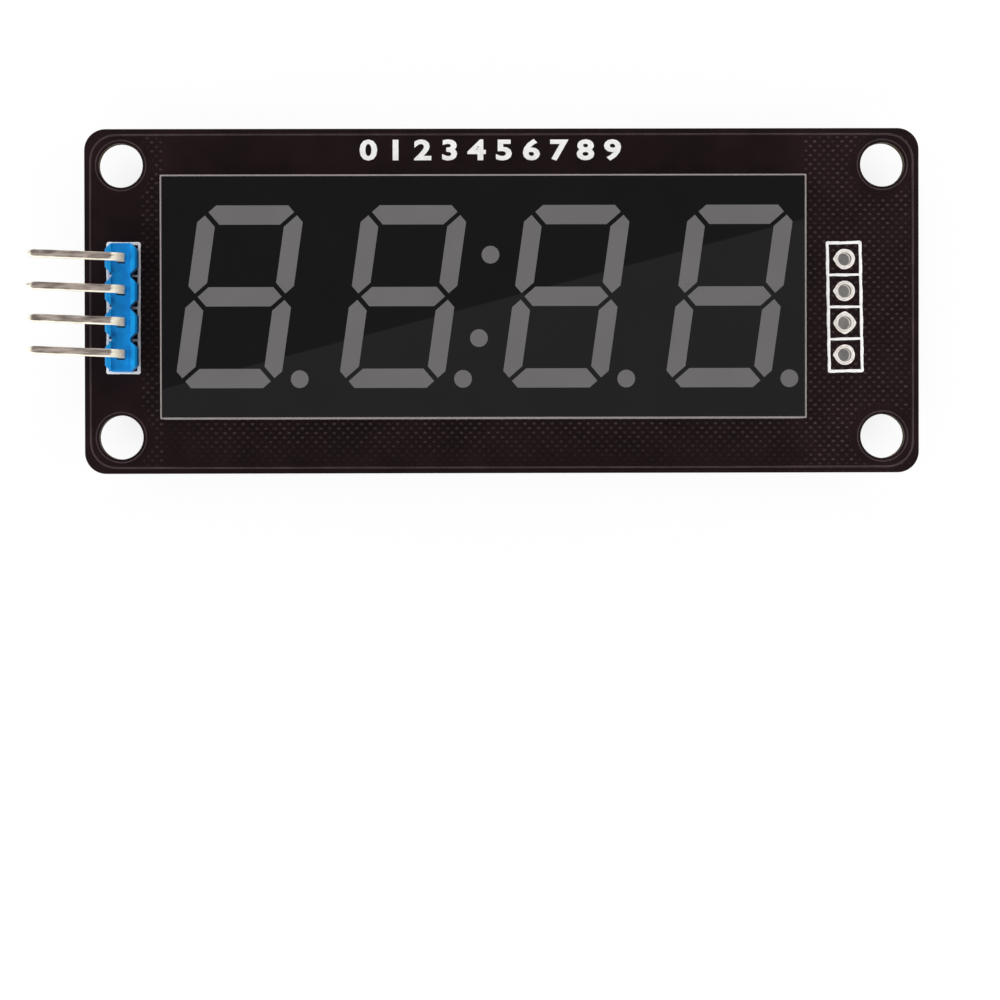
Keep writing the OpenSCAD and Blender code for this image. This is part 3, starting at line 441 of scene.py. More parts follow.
# %% [markdown]
# The capacitors are fired clay-brown ceramic, those of the lower pair paler. A resistor is white
# alumina under a dark coat. The power light is a milky block with a drop of green phosphor.

# %% Small parts
ceramic = surface("capacitor_ceramic", (142, 114, 88), (170, 140, 112), 0.4, 0.6, 0.3)
tree, _, where = opened(ceramic)
row_y = put(tree, "SeparateXYZ", vector=where).outputs[1]
shade(ceramic, reached(tree, row_y, 0.5, 2.5, 0.85, 0.0), (192, 158, 126))
dress(ceramic, *capacitors)
dress(surface("alumina", (214, 212, 206), (232, 230, 224), 0.4, 0.6, 0.3), *resistors)
dress(surface("resistor_coat", (20, 14, 14), (34, 28, 28), 0.4, 0.35, 0.4),
      *[f"resistor_{i}_coat" for i in three])
dress(surface("led_base", (196, 200, 180), (222, 224, 206), 0.4, 0.5, 0.3), "power_led_base")
led_lens = surface("led_lens", (214, 222, 206), (238, 240, 226), 0.3, 0.15, 0.5)
lens_lo, lens_hi = corners("power_led_lens")
drop = ((lens_lo + lens_hi)[0] / 2 - 0.28, (lens_lo + lens_hi)[1] / 2 - 0.1, lens_lo[2])
tree, _, where = opened(led_lens)
shade(led_lens, reached(tree, from_point(tree, where, drop), 0.05, 0.3, 0.8, 0.0), (110, 190, 125))
dress(led_lens, "power_led_lens")
print("green drop at", np.round(drop, 2), "mm")

# %% [markdown]
# ## Mesh helpers
# Every fine piece is a loft: rings of points, computed with numpy, joined by quads. A revolved
# joint, a swept pin and a printed line are all the same thing with other rings.


# %% Lofts and pieces
def loft(rings, closed=False):
    """Points and faces of a surface through rings of equal length.

    Point j of ring i joins point j + 1 of the ring and points j and j + 1 of the next ring. An
    open loft ends in two flat faces; a closed one joins its last ring to its first."""
    rings = np.asarray(rings, float)
    n, m = rings.shape[:2]
    i, j = np.meshgrid(np.arange(n if closed else n - 1), np.arange(m), indexing="ij")
    a, b = (i * m + j).ravel(), (i * m + (j + 1) % m).ravel()
    c, d = ((i + 1) % n * m + (j + 1) % m).ravel(), ((i + 1) % n * m + j).ravel()
    faces = np.stack([a, b, c, d], 1).tolist()
    if not closed:
        faces += [list(range(m))[::-1], list(range((n - 1) * m, n * m))]
    return rings.reshape(-1, 3), faces


def piece(name, parts, material, replaced=(), crease=40, values=None):
    """Joins (points, faces) pairs in millimetres into one object that rides on the root body.

    Faces are turned outwards, edges sharper than crease degrees stay sharp. values holds point
    attributes, one number for each point."""
    starts = np.cumsum([0] + [len(points) for points, _ in parts])
    points = np.concatenate([points for points, _ in parts]) * MM
    faces = [[v + start for v in face] for start, (_, part) in zip(starts.tolist(), parts)
             for face in part]
    mesh = bpy.data.meshes.new(name)
    mesh.from_pydata(points.tolist(), [], faces)
    for key, numbers in (values or {}).items():
        mesh.attributes.new(key, "FLOAT", "POINT").data.foreach_set("value", np.ravel(numbers))
    shape = bmesh.new()
    shape.from_mesh(mesh)
    bmesh.ops.recalc_face_normals(shape, faces=shape.faces)
    shape.to_mesh(mesh)
    shape.free()
    mesh.shade_smooth()
    mesh.set_sharp_from_angle(angle=radians(crease))
    mesh.materials.append(material)
    made = bpy.data.objects.new(name, mesh)
    bpy.context.scene.collection.objects.link(made)
    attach(made, "root")
    if replaced:
        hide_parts(*replaced)
    print(name, len(mesh.polygons), "faces")
    return made


# %% [markdown]
# Stamped, cut and dipped parts are boxes with round corners. A modifier could round them, but an
# outline that shrinks towards both ends gives the same edge with few faces and a known size.


# %% Outlines and blocks
def round_rect(w, h, r, n=3):
    """Outline of a w by h rectangle whose corners are quarter arcs of radius r."""
    a = np.linspace(0, pi / 2, n + 1)
    return np.concatenate([np.stack([sx * (w / 2 - r) + r * np.cos(a + k * pi / 2),
                                     sy * (h / 2 - r) + r * np.sin(a + k * pi / 2)], 1)
                           for k, (sx, sy) in enumerate([(1, 1), (-1, 1), (-1, -1), (1, -1)])])


def raised(outline, z):
    """Flat outline at a height."""
    return np.column_stack([outline, np.full(len(outline), z)])


def block(lo, hi, r):
    """Box between two corners with rounded edges: outlines r (1 - sin a) smaller at r (1 - cos a)."""
    lo, hi = np.array(lo, float), np.array(hi, float)
    w, h = (hi - lo)[:2]
    corner = 1.2 * r
    a = np.linspace(0, pi / 2, 4)
    levels = [(r * (1 - sin(t)), lo[2] + r * (1 - cos(t))) for t in a]
    levels += [(d, hi[2] - (z - lo[2])) for d, z in levels[::-1]]
    return loft([raised(round_rect(w - 2 * d, h - 2 * d, corner - d) + (lo + hi)[:2] / 2, z)
                 for d, z in levels])


def circle(centre, r, n=72):
    """n points of a circle."""
    a = np.linspace(0, 2 * pi, n, endpoint=False)
    return np.stack([centre[0] + r * np.cos(a), centre[1] + r * np.sin(a)], 1)


def turned(points, degrees):
    """Flat points turned about the origin."""
    a = radians(degrees)
    return points @ np.array([[cos(a), sin(a)], [-sin(a), cos(a)]])


# %% [markdown]
# Ink and track edges are soft: a line's corners round off, and both of its edges wander a little.
# So a line is an even row of points, averaged at its corners, with a low arch swept along it.


# %% Printed and raised lines
def even(points, closed=False, gap=0.09, soft=2):
    """Points gap apart along a polyline, each averaged with soft neighbours on both sides, which
    rounds the corners; the ends of an open line stay."""
    p = np.array(points, float)
    if closed:
        p = np.vstack([p, p[:1]])
    length = np.r_[0, np.cumsum(np.linalg.norm(np.diff(p, axis=0), axis=1))]
    t = np.linspace(0, length[-1], max(int(length[-1] / gap), 2 * soft + 3), endpoint=not closed)
    q = np.stack([np.interp(t, length, p[:, k]) for k in range(p.shape[1])], 1)
    before = q[-soft:] if closed else 2 * q[0] - q[soft:0:-1]
    after = q[:soft] if closed else 2 * q[-1] - q[-2:-soft - 2:-1]
    wide = np.vstack([before, q, after])
    kernel = np.ones(2 * soft + 1) / (2 * soft + 1)
    return np.stack([np.convolve(wide[:, k], kernel, "valid") for k in range(p.shape[1])], 1)


def wander(n, amount, waves=(3, 7, 13)):
    """Closed smooth noise of n values: sines of a few whole wave numbers with random phases."""
    t = np.linspace(0, 2 * pi, n, endpoint=False)
    return amount * sum(np.sin(k * t + chance.uniform(0, 2 * pi)) / (1 + i)
                        for i, k in enumerate(waves))


def ribbon(points, width, base, height, closed=False, wobble=0.0, soft=2, gap=0.09):
    """Printed or raised line: a low arch of the given width swept along a polyline on the board.

    A negative height raises it from the rear face. wobble moves both edges by smooth noise."""
    q = even(points, closed, gap, soft)
    step_along = np.roll(q, -1, 0) - np.roll(q, 1, 0) if closed else np.gradient(q, axis=0)
    t = step_along / np.linalg.norm(step_along, axis=1)[:, None]
    normal = np.stack([-t[:, 1], t[:, 0]], 1)
    waves = np.unique((len(q) * np.array([0.02, 0.055, 0.11])).astype(int) + 1)
    q = q + normal * wander(len(q), wobble, waves)[:, None]
    half = width / 2 + wander(len(q), wobble, waves)
    u = np.array([-1, -0.94, -0.7, 0.7, 0.94, 1])
    v = np.array([0, 0.7, 1, 1, 0.7, 0])
    flat = q[:, None] + normal[:, None] * (half[:, None] * u)[..., None]
    rise = np.broadcast_to(base + height * v, flat.shape[:2])
    return loft(np.concatenate([flat, rise[..., None]], 2), closed)


# %% [markdown]
# ## Copper under the mask
# The black mask is a thin lacquer over etched copper, so every track and the edge of the copper
# fill stand up in it as low ridges. The fill is a hatch: a diagonal net of thin copper lines.
# Its small openings show as rows of pale dots: partly the board's paler substrate seen through them,
# partly a painted highlight where they catch the light. The ridges are swept ribbons; the dots
# come from the product of two cosines, cos(2 pi x / pitch) cos(2 pi y / pitch), whose peaks lie on
# the same staggered rows; a third one of half the pitch along y flattens them to dashes.

# %% Tracks and the edge of the copper fill
board_l, board_w = (board_hi - board_lo)[:2]
holes = next(m for m in frame["record"]["mounts"] if m["name"] == "board_holes")["dims"]
hole_x, hole_y = holes["spacing_x_mm"] / 2, holes["spacing_y_mm"] / 2
hole_places = [(sx * hole_x, sy * hole_y) for sx in (1, -1) for sy in (1, -1)]
fill_inset, fill_corner, hole_ring_r = 0.48, 2.0, 2.0
fill_line = round_rect(board_l - 2 * fill_inset, board_w - 2 * fill_inset, fill_corner, 6)
rear_tracks = [
    [(8.05, 8.33), (5.47, 10.94)],
    [(7.08, 8.11), (4.61, 10.69), (-3.55, 10.69), (-5.67, 8.7)],
    [(2.57, 8.58), (1.06, 10.09), (-3.55, 10.09), (-5.16, 8.58)],
    [(-4.3, 10.6), (-6.5, 8.4)],
    [(1.28, 8.76), (0.42, 9.51)],
    [(-2.8, 9.51), (-3.44, 8.86)],
    [(6.5, 6.78), (5.77, 7.58)],
    [(5.67, 6.78), (1.68, 6.78), (1.25, 7.2)],
    [(-7.78, 2.65), (-8.62, 2.65)],
    [(-7.78, 1.71), (-8.31, 1.71)],
]
ridges = [ribbon(fill_line, 0.16, z, h, closed=True) for z, h in ((front_z, 0.03), (rear_z, -0.03))]
ridges += [ribbon(track, 0.11, rear_z, -0.025, gap=0.06) for track in rear_tracks]
ridges += [ribbon(circle(at, hole_ring_r), 0.1, front_z, 0.02, closed=True) for at in hole_places]
print(len(ridges), "ridges")

# %% [markdown]
# The hatch is painted only where the copper fill lies and light rakes it, so where it shows is
# painted light: in patches beside the header and the spare row and below the display, all over the
# upper rear, but neither round the holes nor behind the chip. Each zone is a product of soft steps
# along x and y. The cut edge of the board shows the layers of its glass and resin.

# %% Mask material
mask = surface("black_mask", (8, 3, 4), (16, 8, 9), 2.5, 0.38, 0.14)
dress(mask, "circuit_board")
tree, shader, where = opened(mask)
x, y, z = put(tree, "SeparateXYZ", vector=where).outputs
hatch_pitch = 0.722
phase_x, phase_y = (calc(tree, "MULTIPLY", v, 2 * pi / (hatch_pitch * MM)) for v in (x, y))
wave = times(tree, calc(tree, "COSINE", phase_x), calc(tree, "COSINE", phase_y))
rows = calc(tree, "COSINE", calc(tree, "MULTIPLY", phase_y, 2.0))
wave = calc(tree, "ADD", wave, calc(tree, "MULTIPLY_ADD", rows, 0.3, -0.3))
front = reached(tree, z, 0.7, 0.9)
patchy = step(tree, cloud(tree, where, 0.6, 3.0), 0.35, 0.65, 0.35, 1.0)
dots = times(tree, step(tree, wave, calc(tree, "MULTIPLY_ADD", front, -0.35, 0.25), 0.95), patchy)

chip_zone = times(tree, within(tree, calc(tree, "ADD", x, 0.8 * MM), 8.9, 9.3), within(tree, y, 9.0, 9.4))
rear_share = times(tree, less(tree, 1.0, chip_zone), reached(tree, y, -2.0, 7.5, 0.12, 1.0))
beside_header = times(tree, reached(tree, x, -28.9, -28.5), reached(tree, x, -27.2, -26.6, 0.7, 0.0))
below_display = times(tree, reached(tree, y, -13.4, -9.4, 0.1, 1.0), reached(tree, y, -9.4, -9.2, 1.0, 0.0),
                      within(tree, x, 21.0, 28.0))
beside_spare = reached(tree, x, 23.7, 24.3, 0.0, 0.85)
front_share = largest(tree, beside_header, below_display, beside_spare)
share = calc(tree, "ADD", times(tree, front, front_share), times(tree, less(tree, 1.0, front), rear_share))
quarter = put(tree, "VectorMath", operation="ABSOLUTE", in_0=where).outputs[0]
from_hole = from_point(tree, scaled(tree, quarter, 1.0, 1.0, 0.0), (hole_x, hole_y, 0.0))
clear = times(tree, within(tree, x, 32.3, 32.55), within(tree, y, 12.9, 13.15),
              reached(tree, from_hole, 2.5, 2.7))
# Pale hatch dots: the real openings, shown as painted highlight only in the zones where light rakes the
# board.
strength = times(tree, dots, share, clear)

# %% [markdown]
# The lacquer is nearly black behind and has a hint of red in front. The hatch, partly painted
# highlight, tints it and lifts it a little, and the front is duller than the rear.

# %% Mask colours
stain = step(tree, cloud(tree, where, 3.0, 5.0), 0.35, 0.65)
lacquer = mix(tree, front, mix(tree, stain, linear(4, 0, 1), linear(9, 3, 4)),
              mix(tree, stain, linear(19, 6, 8), linear(27, 12, 14)))
lacquer = mix(tree, times(tree, strength, 0.72), lacquer, linear(78, 65, 64))
layers = cloud(tree, scaled(tree, where, 0.4, 0.4, 2.5), 0.3, 3.0)
core = mix(tree, step(tree, layers, 0.35, 0.65), linear(60, 52, 37), linear(82, 72, 52))
from_middle = calc(tree, "ABSOLUTE", less(tree, z, 0.8 * MM))
inside = calc(tree, "LESS_THAN", from_middle, 0.77 * MM)
tree.links.new(mix(tree, inside, lacquer, core), shader.inputs["Base Color"])
relief = put(tree, "Bump", strength=0.5, distance=0.03 * MM,
             height=calc(tree, "ADD", strength, times(tree, cloud(tree, where, 0.2), 0.5)))
tree.links.new(relief.outputs[0], shader.inputs["Normal"])
tree.links.new(calc(tree, "MULTIPLY_ADD", front, 0.17, 0.25), shader.inputs["Roughness"])
piece("mask_ridges", ridges, surface("ridge_mask", (44, 30, 33), (60, 44, 46), 1.5, 0.35, 0.4),
      crease=60)

# %% [markdown]
# ## Print
# The white print is ink pressed through a mesh: its lines have round corners, slightly uneven
# edges and a low arch for a section. Both header boxes, the rings round the holes, the line
# round the chip and the brackets of the small parts are ribbons along their middle lines.

# %% Print on the front
print_h, edge_wobble, box_stroke = 0.03, 0.009, 0.24
pads_lo, pads_hi = corners("header_pads")
header_x = (pads_lo[0] + pads_hi[0]) / 2
spare_x = sum(corners("spare_pads"))[0] / 2
pad_r = (pads_hi[0] - pads_lo[0]) / 2
row_ys = np.linspace(pads_hi[1] - pad_r, pads_lo[1] + pad_r, 4)


def header_box(cx, w, l, lean):
    """Line round a header row with a line across between two holes, turned by some degrees.

    w and l are measured between the middles of opposite lines. The lines across are thinner."""
    outer = turned(np.array([(w, l), (-w, l), (-w, -l), (w, -l)]) / 2, lean) + (cx, row_ys.mean())
    lines = [ribbon(outer, box_stroke, front_z, print_h, True, edge_wobble, 1, 0.045)]
    for i in range(1, 4):
        low = outer[3] + (outer[0] - outer[3]) * i / 4
        high = outer[2] + (outer[1] - outer[2]) * i / 4
        lines.append(ribbon([low, high], box_stroke * 0.85, front_z, print_h * 0.95, False, edge_wobble))
    return lines


boxes = header_box(spare_x, 2.62, 10.2, 0.9) + header_box(header_x + 0.04, 2.48, 10.24, -0.2)
piece("front_print", boxes, ink, ["front_silkscreen"])

# %% [markdown]
# The rear print is the same ink. Its rings are a little thicker than the rest, the line round the
# chip has a gap with two short arms, and each small part has a bracket above and below it.


# %% Print on the rear
chip_x, chip_y = sum(corners("driver_chip_body"))[:2] / 2
chip_line_w, chip_line_l, chip_stroke, gap_half, arm = 13.72, 8.24, 0.24, 0.995, 0.36
bracket_w, bracket_l, bracket_stroke, bracket_opening = 1.78, 3.38, 0.2, 1.2
hole_print_r, hole_print_w = 2.49, 0.25
lead_line = dict(base=rear_z, height=-print_h, wobble=edge_wobble)
rear_lines = [ribbon(circle(at, hole_print_r, 90), hole_print_w, rear_z, -1.5 * print_h, True, edge_wobble)
              for at in hole_places]
hw, hl = (chip_line_w - chip_stroke) / 2, (chip_line_l - chip_stroke) / 2
upper_half = np.array([(hw - arm, gap_half), (hw, gap_half), (hw, hl), (-hw, hl)])
chip_line = np.vstack([upper_half, upper_half[::-1] * (1, -1)]) + (chip_x, chip_y)
rear_lines.append(ribbon(chip_line, chip_stroke, soft=1, gap=0.05, **lead_line))
led = "power_led_base"


def place_of(part):
    """Middle of a small part's body."""
    return sum(corners(part))[:2] / 2


def bracket(part, side, cut=0.0):
    """One bracket of a small part, above (1) or below (-1) it, with corners cut by some length."""
    w, l, end = (bracket_w - bracket_stroke) / 2, (bracket_l - bracket_stroke) / 2, bracket_opening / 2
    path = [(-w, end), (-w, l - cut), (cut - w, l), (w - cut, l), (w, l - cut), (w, end)]
    path = np.array(path if cut else [path[0], (-w, l), (w, l), path[-1]])
    return ribbon(path * (1, side) + place_of(part), bracket_stroke, soft=1, gap=0.06, **lead_line)


for part in capacitors + resistors:
    rear_lines += [bracket(part, 1), bracket(part, -1)]
rear_lines += [bracket(led, 1), bracket(led, -1, 0.3)]
bar_x, bar_y = place_of(led) - (0, (bracket_l + 0.1) / 2)
rear_lines.append(ribbon([(bar_x - 0.42, bar_y), (bar_x + 0.42, bar_y)], 0.22, **lead_line))
piece("rear_print", rear_lines, ink, ["rear_silkscreen"])


# %% [markdown]
# Plain digits stand on the board as its print, at the size that such print has. They are set as
# text, made a mesh and brought to a measured width and height, so that any font gives that size.


# %% Digits on the board
def digits(text, size, at, way=1, lean=0.0, bold=0.0, level=0.0, depth=print_h):
    """Points and faces of a plain text brought to a size and laid on a face.

    size is (width, height) or a height alone, which keeps the shape of the text. way is 1 for the
    front and -1 for the rear, where x is mirrored so that it reads from behind."""
    curve = bpy.data.curves.new("digits", "FONT")
    curve.body, curve.offset, curve.extrude, curve.resolution_u = text, bold, 0.5, 3
    holder = bpy.data.objects.new("digits", curve)
    mesh = bpy.data.meshes.new_from_object(holder)
    points = np.empty(len(mesh.vertices) * 3)
    mesh.vertices.foreach_get("co", points)
    points = points.reshape(-1, 3)
    lo, hi = points.min(0), points.max(0)
    if np.isscalar(size):
        size = (size * (hi - lo)[0] / (hi - lo)[1], size)
    points = (points - (lo + hi) / 2) / (hi - lo) * (*size, depth)
    flat = turned(points[:, :2], lean) * (way, 1) + at
    points = np.column_stack([flat, way * (points[:, 2] + depth / 2) + level])
    faces = [list(polygon.vertices) for polygon in mesh.polygons]
    bpy.data.objects.remove(holder)
    bpy.data.curves.remove(curve)
    bpy.data.meshes.remove(mesh)
    return points, faces


title, title_size, title_bold = "0 1 2 3 4 5 6 7 8 9", (20.8, 1.74), 0.034
mark_h, mark_bold = 1.08, 0.02
legend_x, legend_y, legend_pitch = 17.0, 2.64, 1.51
marks = [(str(i + 1), x, y) for x in (25.2, -27.9) for i, y in enumerate(row_ys)]
marks += [(str(i + 1), legend_x, legend_y - legend_pitch * i) for i in range(5)]
front_digits = [digits(title, title_size, (-0.9, 12.0), bold=title_bold, level=front_z)]
rear_digits = [digits(title, title_size, (-1.2, 12.08), -1, bold=title_bold, level=rear_z)]
rear_digits += [digits(text, mark_h, (x, y), -1, bold=mark_bold, level=rear_z) for text, x, y in marks]
rear_digits.append(digits("+", 0.8, (-18.6, place_of(led)[1]), -1, bold=0.03, level=rear_z))
piece("front_digits", front_digits, ink, crease=30)
piece("rear_digits", rear_digits, ink, crease=30)

# %% [markdown]
# ## Pin header
# Each pin is square brass wire with a tin finish, bent at a right angle over a former. It is
# swept along its middle line: up through the board and the block, round the bend and out. The
# rolled faces are dark with tarnish; the bend, the edges and the tips are made pale as painted
# highlights.

# %% Header pins
pin_w, pin_r, tip_w, tip_l = 0.64, 0.07, 0.3, 0.55
tail_z, run_z, reach, bend_r, pin_lean = -1.4, 4.91, 7.34, 0.63, radians(2.4)
block_top, knocked = 4.14, 0.14


def pin_path():
    """Middle line of a pin in its own plane: distance run along the board, and height."""
    a = np.linspace(0, pi / 2, 9)
    up = [(0, z) for z in (tail_z, tail_z + tip_l / 2, tail_z + tip_l, 0.2, 2.0, run_z - bend_r - 0.05)]
    bend = np.stack([bend_r * (1 - np.cos(a)), run_z - bend_r + bend_r * np.sin(a)], 1)
    out = [(s, run_z) for s in np.linspace(bend_r + 0.3, reach - tip_l, 12)]
    return np.vstack([up, bend, out, [(reach - tip_l / 2, run_z), (reach, run_z)]])


def with_flats(section, parts=(0.0, 0.12, 0.24, 0.76, 0.88)):
    """Section whose long sides are split at parts of their length, so that a colour can change there."""
    ends = np.roll(section, -1, 0)
    return np.concatenate([p + (q - p) * np.array(parts if np.hypot(*(q - p)) > 0.5 else (0.0,))[:, None]
                           for p, q in zip(section, ends)])


def swept_pin(at):
    """Header pin at a place: a rounded square swept along the path, tapered at both ends.

    Above the block the pins are knocked a little upwards. Also returns how pale each point is,
    where a highlight is painted on the bend, the edges and the tips, and how brown, on its under side."""
    path = pin_path()
    t = np.gradient(path, axis=0)
    t /= np.linalg.norm(t, axis=1)[:, None]
    ends = np.minimum(path[:, 1] - tail_z, reach - path[:, 0]) / tip_l
    size = tip_w + (pin_w - tip_w) * np.clip(ends, 0, 1)
    section = with_flats(round_rect(1, 1, pin_r / pin_w))
    u, v = section[:, 0] * size[:, None], section[:, 1] * size[:, None]
    along = path[:, :1] - v * t[:, 1:]
    height = path[:, 1:] + v * t[:, :1]
    x = at[0] - along * cos(pin_lean) + u * sin(pin_lean)
    y = at[1] + along * sin(pin_lean) + u * cos(pin_lean)
    y += knocked * np.clip((height - block_top) / 2 + 1, 0, 1)
    # Painted highlights: the bend, both edges and the tapered tips are made pale.
    bend_highlight = np.clip(1 - np.abs(path[:, :1] - 0.25) / 0.6, 0, 1) ** 0.4 * (path[:, 1:] > 3.9)
    rim = np.interp(section[:, 0], (-0.36, -0.25, 0.42, 0.48), (1.0, 0.1, 0.0, 0.55))
    pale = np.maximum(np.broadcast_to(bend_highlight, u.shape), rim)
    pale = np.maximum(pale, 0.62 * np.clip(1.5 - ends, 0, 1)[:, None])
    middle = np.interp(np.abs(section[:, 0]), (0.34, 0.42), (0.4, 0.0)) * (section[:, 1] < -0.3)
    under = middle * (path[:, :1] > 0.8) * np.clip(ends, 0, 1)[:, None] ** 2
    return loft(np.stack([x, y, height], 2)), pale, under


# %% [markdown]
# Drawn wire is streaked along its length, so the noise of its colour is stretched along x. The
# streaks also fray the border between tarnish and the painted highlights.

# %% Pins and their metal
pin_metal = surface("pin_metal", (94, 87, 78), (160, 152, 140), 0.8, 0.42, metallic=0.2)
tree, shader, where = opened(pin_metal)
streak = step(tree, cloud(tree, scaled(tree, where, 0.3, 1.4, 1.4), 0.4, 4.0), 0.3, 0.72)
tarnish = mix(tree, streak, linear(92, 82, 76), linear(168, 155, 145))
bright = mix(tree, streak, linear(242, 234, 210), linear(255, 250, 236))
# The pale attribute brings in the painted highlights of the bend, the edges and the tips.
painted_highlight = put(tree, "Attribute", attribute_name="pale").outputs["Fac"]
frayed = calc(tree, "ADD", painted_highlight, times(tree, less(tree, streak, 0.5), 0.25))
tree.links.new(mix(tree, step(tree, frayed, 0.35, 0.8), tarnish, bright), shader.inputs["Base Color"])
shade(pin_metal, "under", (78, 56, 28))
for i, y_row in enumerate(row_ys):
    node = f"header_pin_{i + 1}"
    dress(pin_metal, node)
    part, pale, under = swept_pin((header_x, y_row))
    piece(f"swept_pin_{i + 1}", [part], pin_metal, [node],
          values={"pale": pale, "under": under})

# %% [markdown]
# ## Moulded parts
# The block, the shell and the chip come out of moulds, the board is milled and the capacitors are
# fired, so none of their edges is sharp. The CAD meshes keep their shape; a weld joins their
# faces and a bevel rounds what is sharper than 25 degrees.


# %% Rounded edges
def rounded(node, radius, segments=3):
    """Welds a CAD mesh and rounds its sharp edges by a radius in millimetres."""
    made = nodes[node]
    made.modifiers.new("weld", "WELD").merge_threshold = 0.0005 * MM
    bevel = made.modifiers.new("bevel", "BEVEL")
    bevel.width, bevel.segments = radius * MM, segments
    bevel.limit_method, bevel.angle_limit = "ANGLE", radians(25)
    bevel.harden_normals = True
    print(node, "edges rounded by", radius, "mm")


rounded("circuit_board", 0.05, 2)
rounded("header_block", 0.07)
rounded("display_shell", 0.06, 2)
rounded("driver_chip_body", 0.06)
for node in capacitors:
    rounded(node, 0.05)

# %% [markdown]
# The block is dyed nylon. Its ridges catch more light than the channels between them, so a step
# in height mixes two blues, each with the faint swirls of the melt.

# %% Header block material
blue = surface("header_blue", (12, 100, 175), (36, 140, 208), 1.2, 0.42, 0.25)
dress(blue, "header_block")
tree, shader, where = opened(blue)
ridge = reached(tree, put(tree, "SeparateXYZ", vector=where).outputs[2], 3.9, 4.12)
swirl = step(tree, cloud(tree, where, 1.0, 3.0), 0.35, 0.65)
channel = mix(tree, swirl, linear(0, 124, 202), linear(2, 142, 220))
crest = mix(tree, swirl, linear(0, 142, 220), linear(12, 162, 236))
tree.links.new(mix(tree, ridge, channel, crest), shader.inputs["Base Color"])
print("header block", (corners("header_block")[1] - corners("header_block")[0]).round(2), "mm")

# %% [markdown]
# ## Plated holes of the spare row
# The eyelets are rolled out of a round collar, and their edges are not quite round: three have a
# small tear to the left, the other one has four lobes. One profile runs up the hole, over a soft
# lip, out to that edge and back inside the board; it is turned round the hole.


# %% Spare pads
def lobe(angle, at, width, reach):
    """Bump of an outline: reach * exp(-((angle - at) / width)^2), wrapped round the circle."""
    off = (angle - at + pi) % (2 * pi) - pi
    return reach * np.exp(-(off / width) ** 2)


def eyelet(at, bore_r, front_r, rear_r):
    """Plated hole: rings from the wall of the hole over a lip to an outline that varies by angle.

    Each ring of the profile has a radius, a height and its painted shade: the wall, the groove on the pad,
    its edges."""
    n, t = len(front_r), 0.05
    lip, top, groove = front_z + t, front_z + t - 0.002, front_z + 0.035
    pad, rear_pad = front_r - bore_r, rear_r - bore_r
    profile = [(bore_r, 0.03 - t, 0), (bore_r, front_z - 0.4, 0.1), (bore_r, front_z + 0.02, 1),
               (bore_r + 0.015, lip - 0.008, 0.8), (bore_r + 0.05, lip, 0.1),
               (bore_r + 0.45 * pad, top, 0), (bore_r + 0.55 * pad, groove, 0.5),
               (bore_r + 0.65 * pad, top, 0), (front_r - 0.05, top, 0), (front_r - 0.01, groove, 0.1),
               (front_r, front_z, 0.4), (bore_r + t, front_z - 0.005, 0), (bore_r + t, 0.005, 0),
               (rear_r, 0.0, 0.6), (rear_r - 0.02, -0.03, 0.5), (rear_r - 0.1, -0.045, 0.45),
               (bore_r + 0.4 * rear_pad, -t, 0), (bore_r + 0.05, -t, 0), (bore_r + 0.015, -0.042, 0)]
    rings = [raised(circle(at, r, n), z) for r, z, _ in profile]
    return loft(rings, closed=True), np.repeat([dark for _, _, dark in profile], n)


ring_n, spare_bore_r, front_pad_r, rear_pad_r = 96, 0.5, 0.81, 0.86
around = np.linspace(0, 2 * pi, ring_n, endpoint=False)
tear = lobe(around, pi, 0.22, 0.13)
four_lobes = sum(lobe(around, quarter * pi / 2, 0.3, 0.1) for quarter in range(4))
spare = []
for i, y_row in enumerate(row_ys):
    outline = front_pad_r + wander(ring_n, 0.008)
    behind = rear_pad_r + wander(ring_n, 0.008)
    if i == 2:
        outline, behind = outline + four_lobes, behind + four_lobes
    else:
        outline = outline + tear
    spare.append(eyelet((spare_x, y_row), spare_bore_r, outline, behind))
rim_metal = surface("rim_metal", (232, 224, 217), (255, 250, 245), 0.25, 0.5, metallic=0.1, grain_mm=0.08,
                    grain=0.25)
# Painted shade: the dark attribute darkens the hole's wall, the groove on the pad and the pad's edges.
shade(rim_metal, "dark", (74, 70, 68))
piece("spare_eyelets", [part for part, _ in spare], rim_metal, ["spare_pads"],
      values={"dark": [dark for _, dark in spare]})


# %% [markdown]
# ## Solder
# Molten solder climbs the pin and wets the pad, so each joint is a hollow cone: its radius is
# tip + (pad - tip) (1 - t)^p at height t. A little noise round the ring and a spur here and
# there make every joint its own.

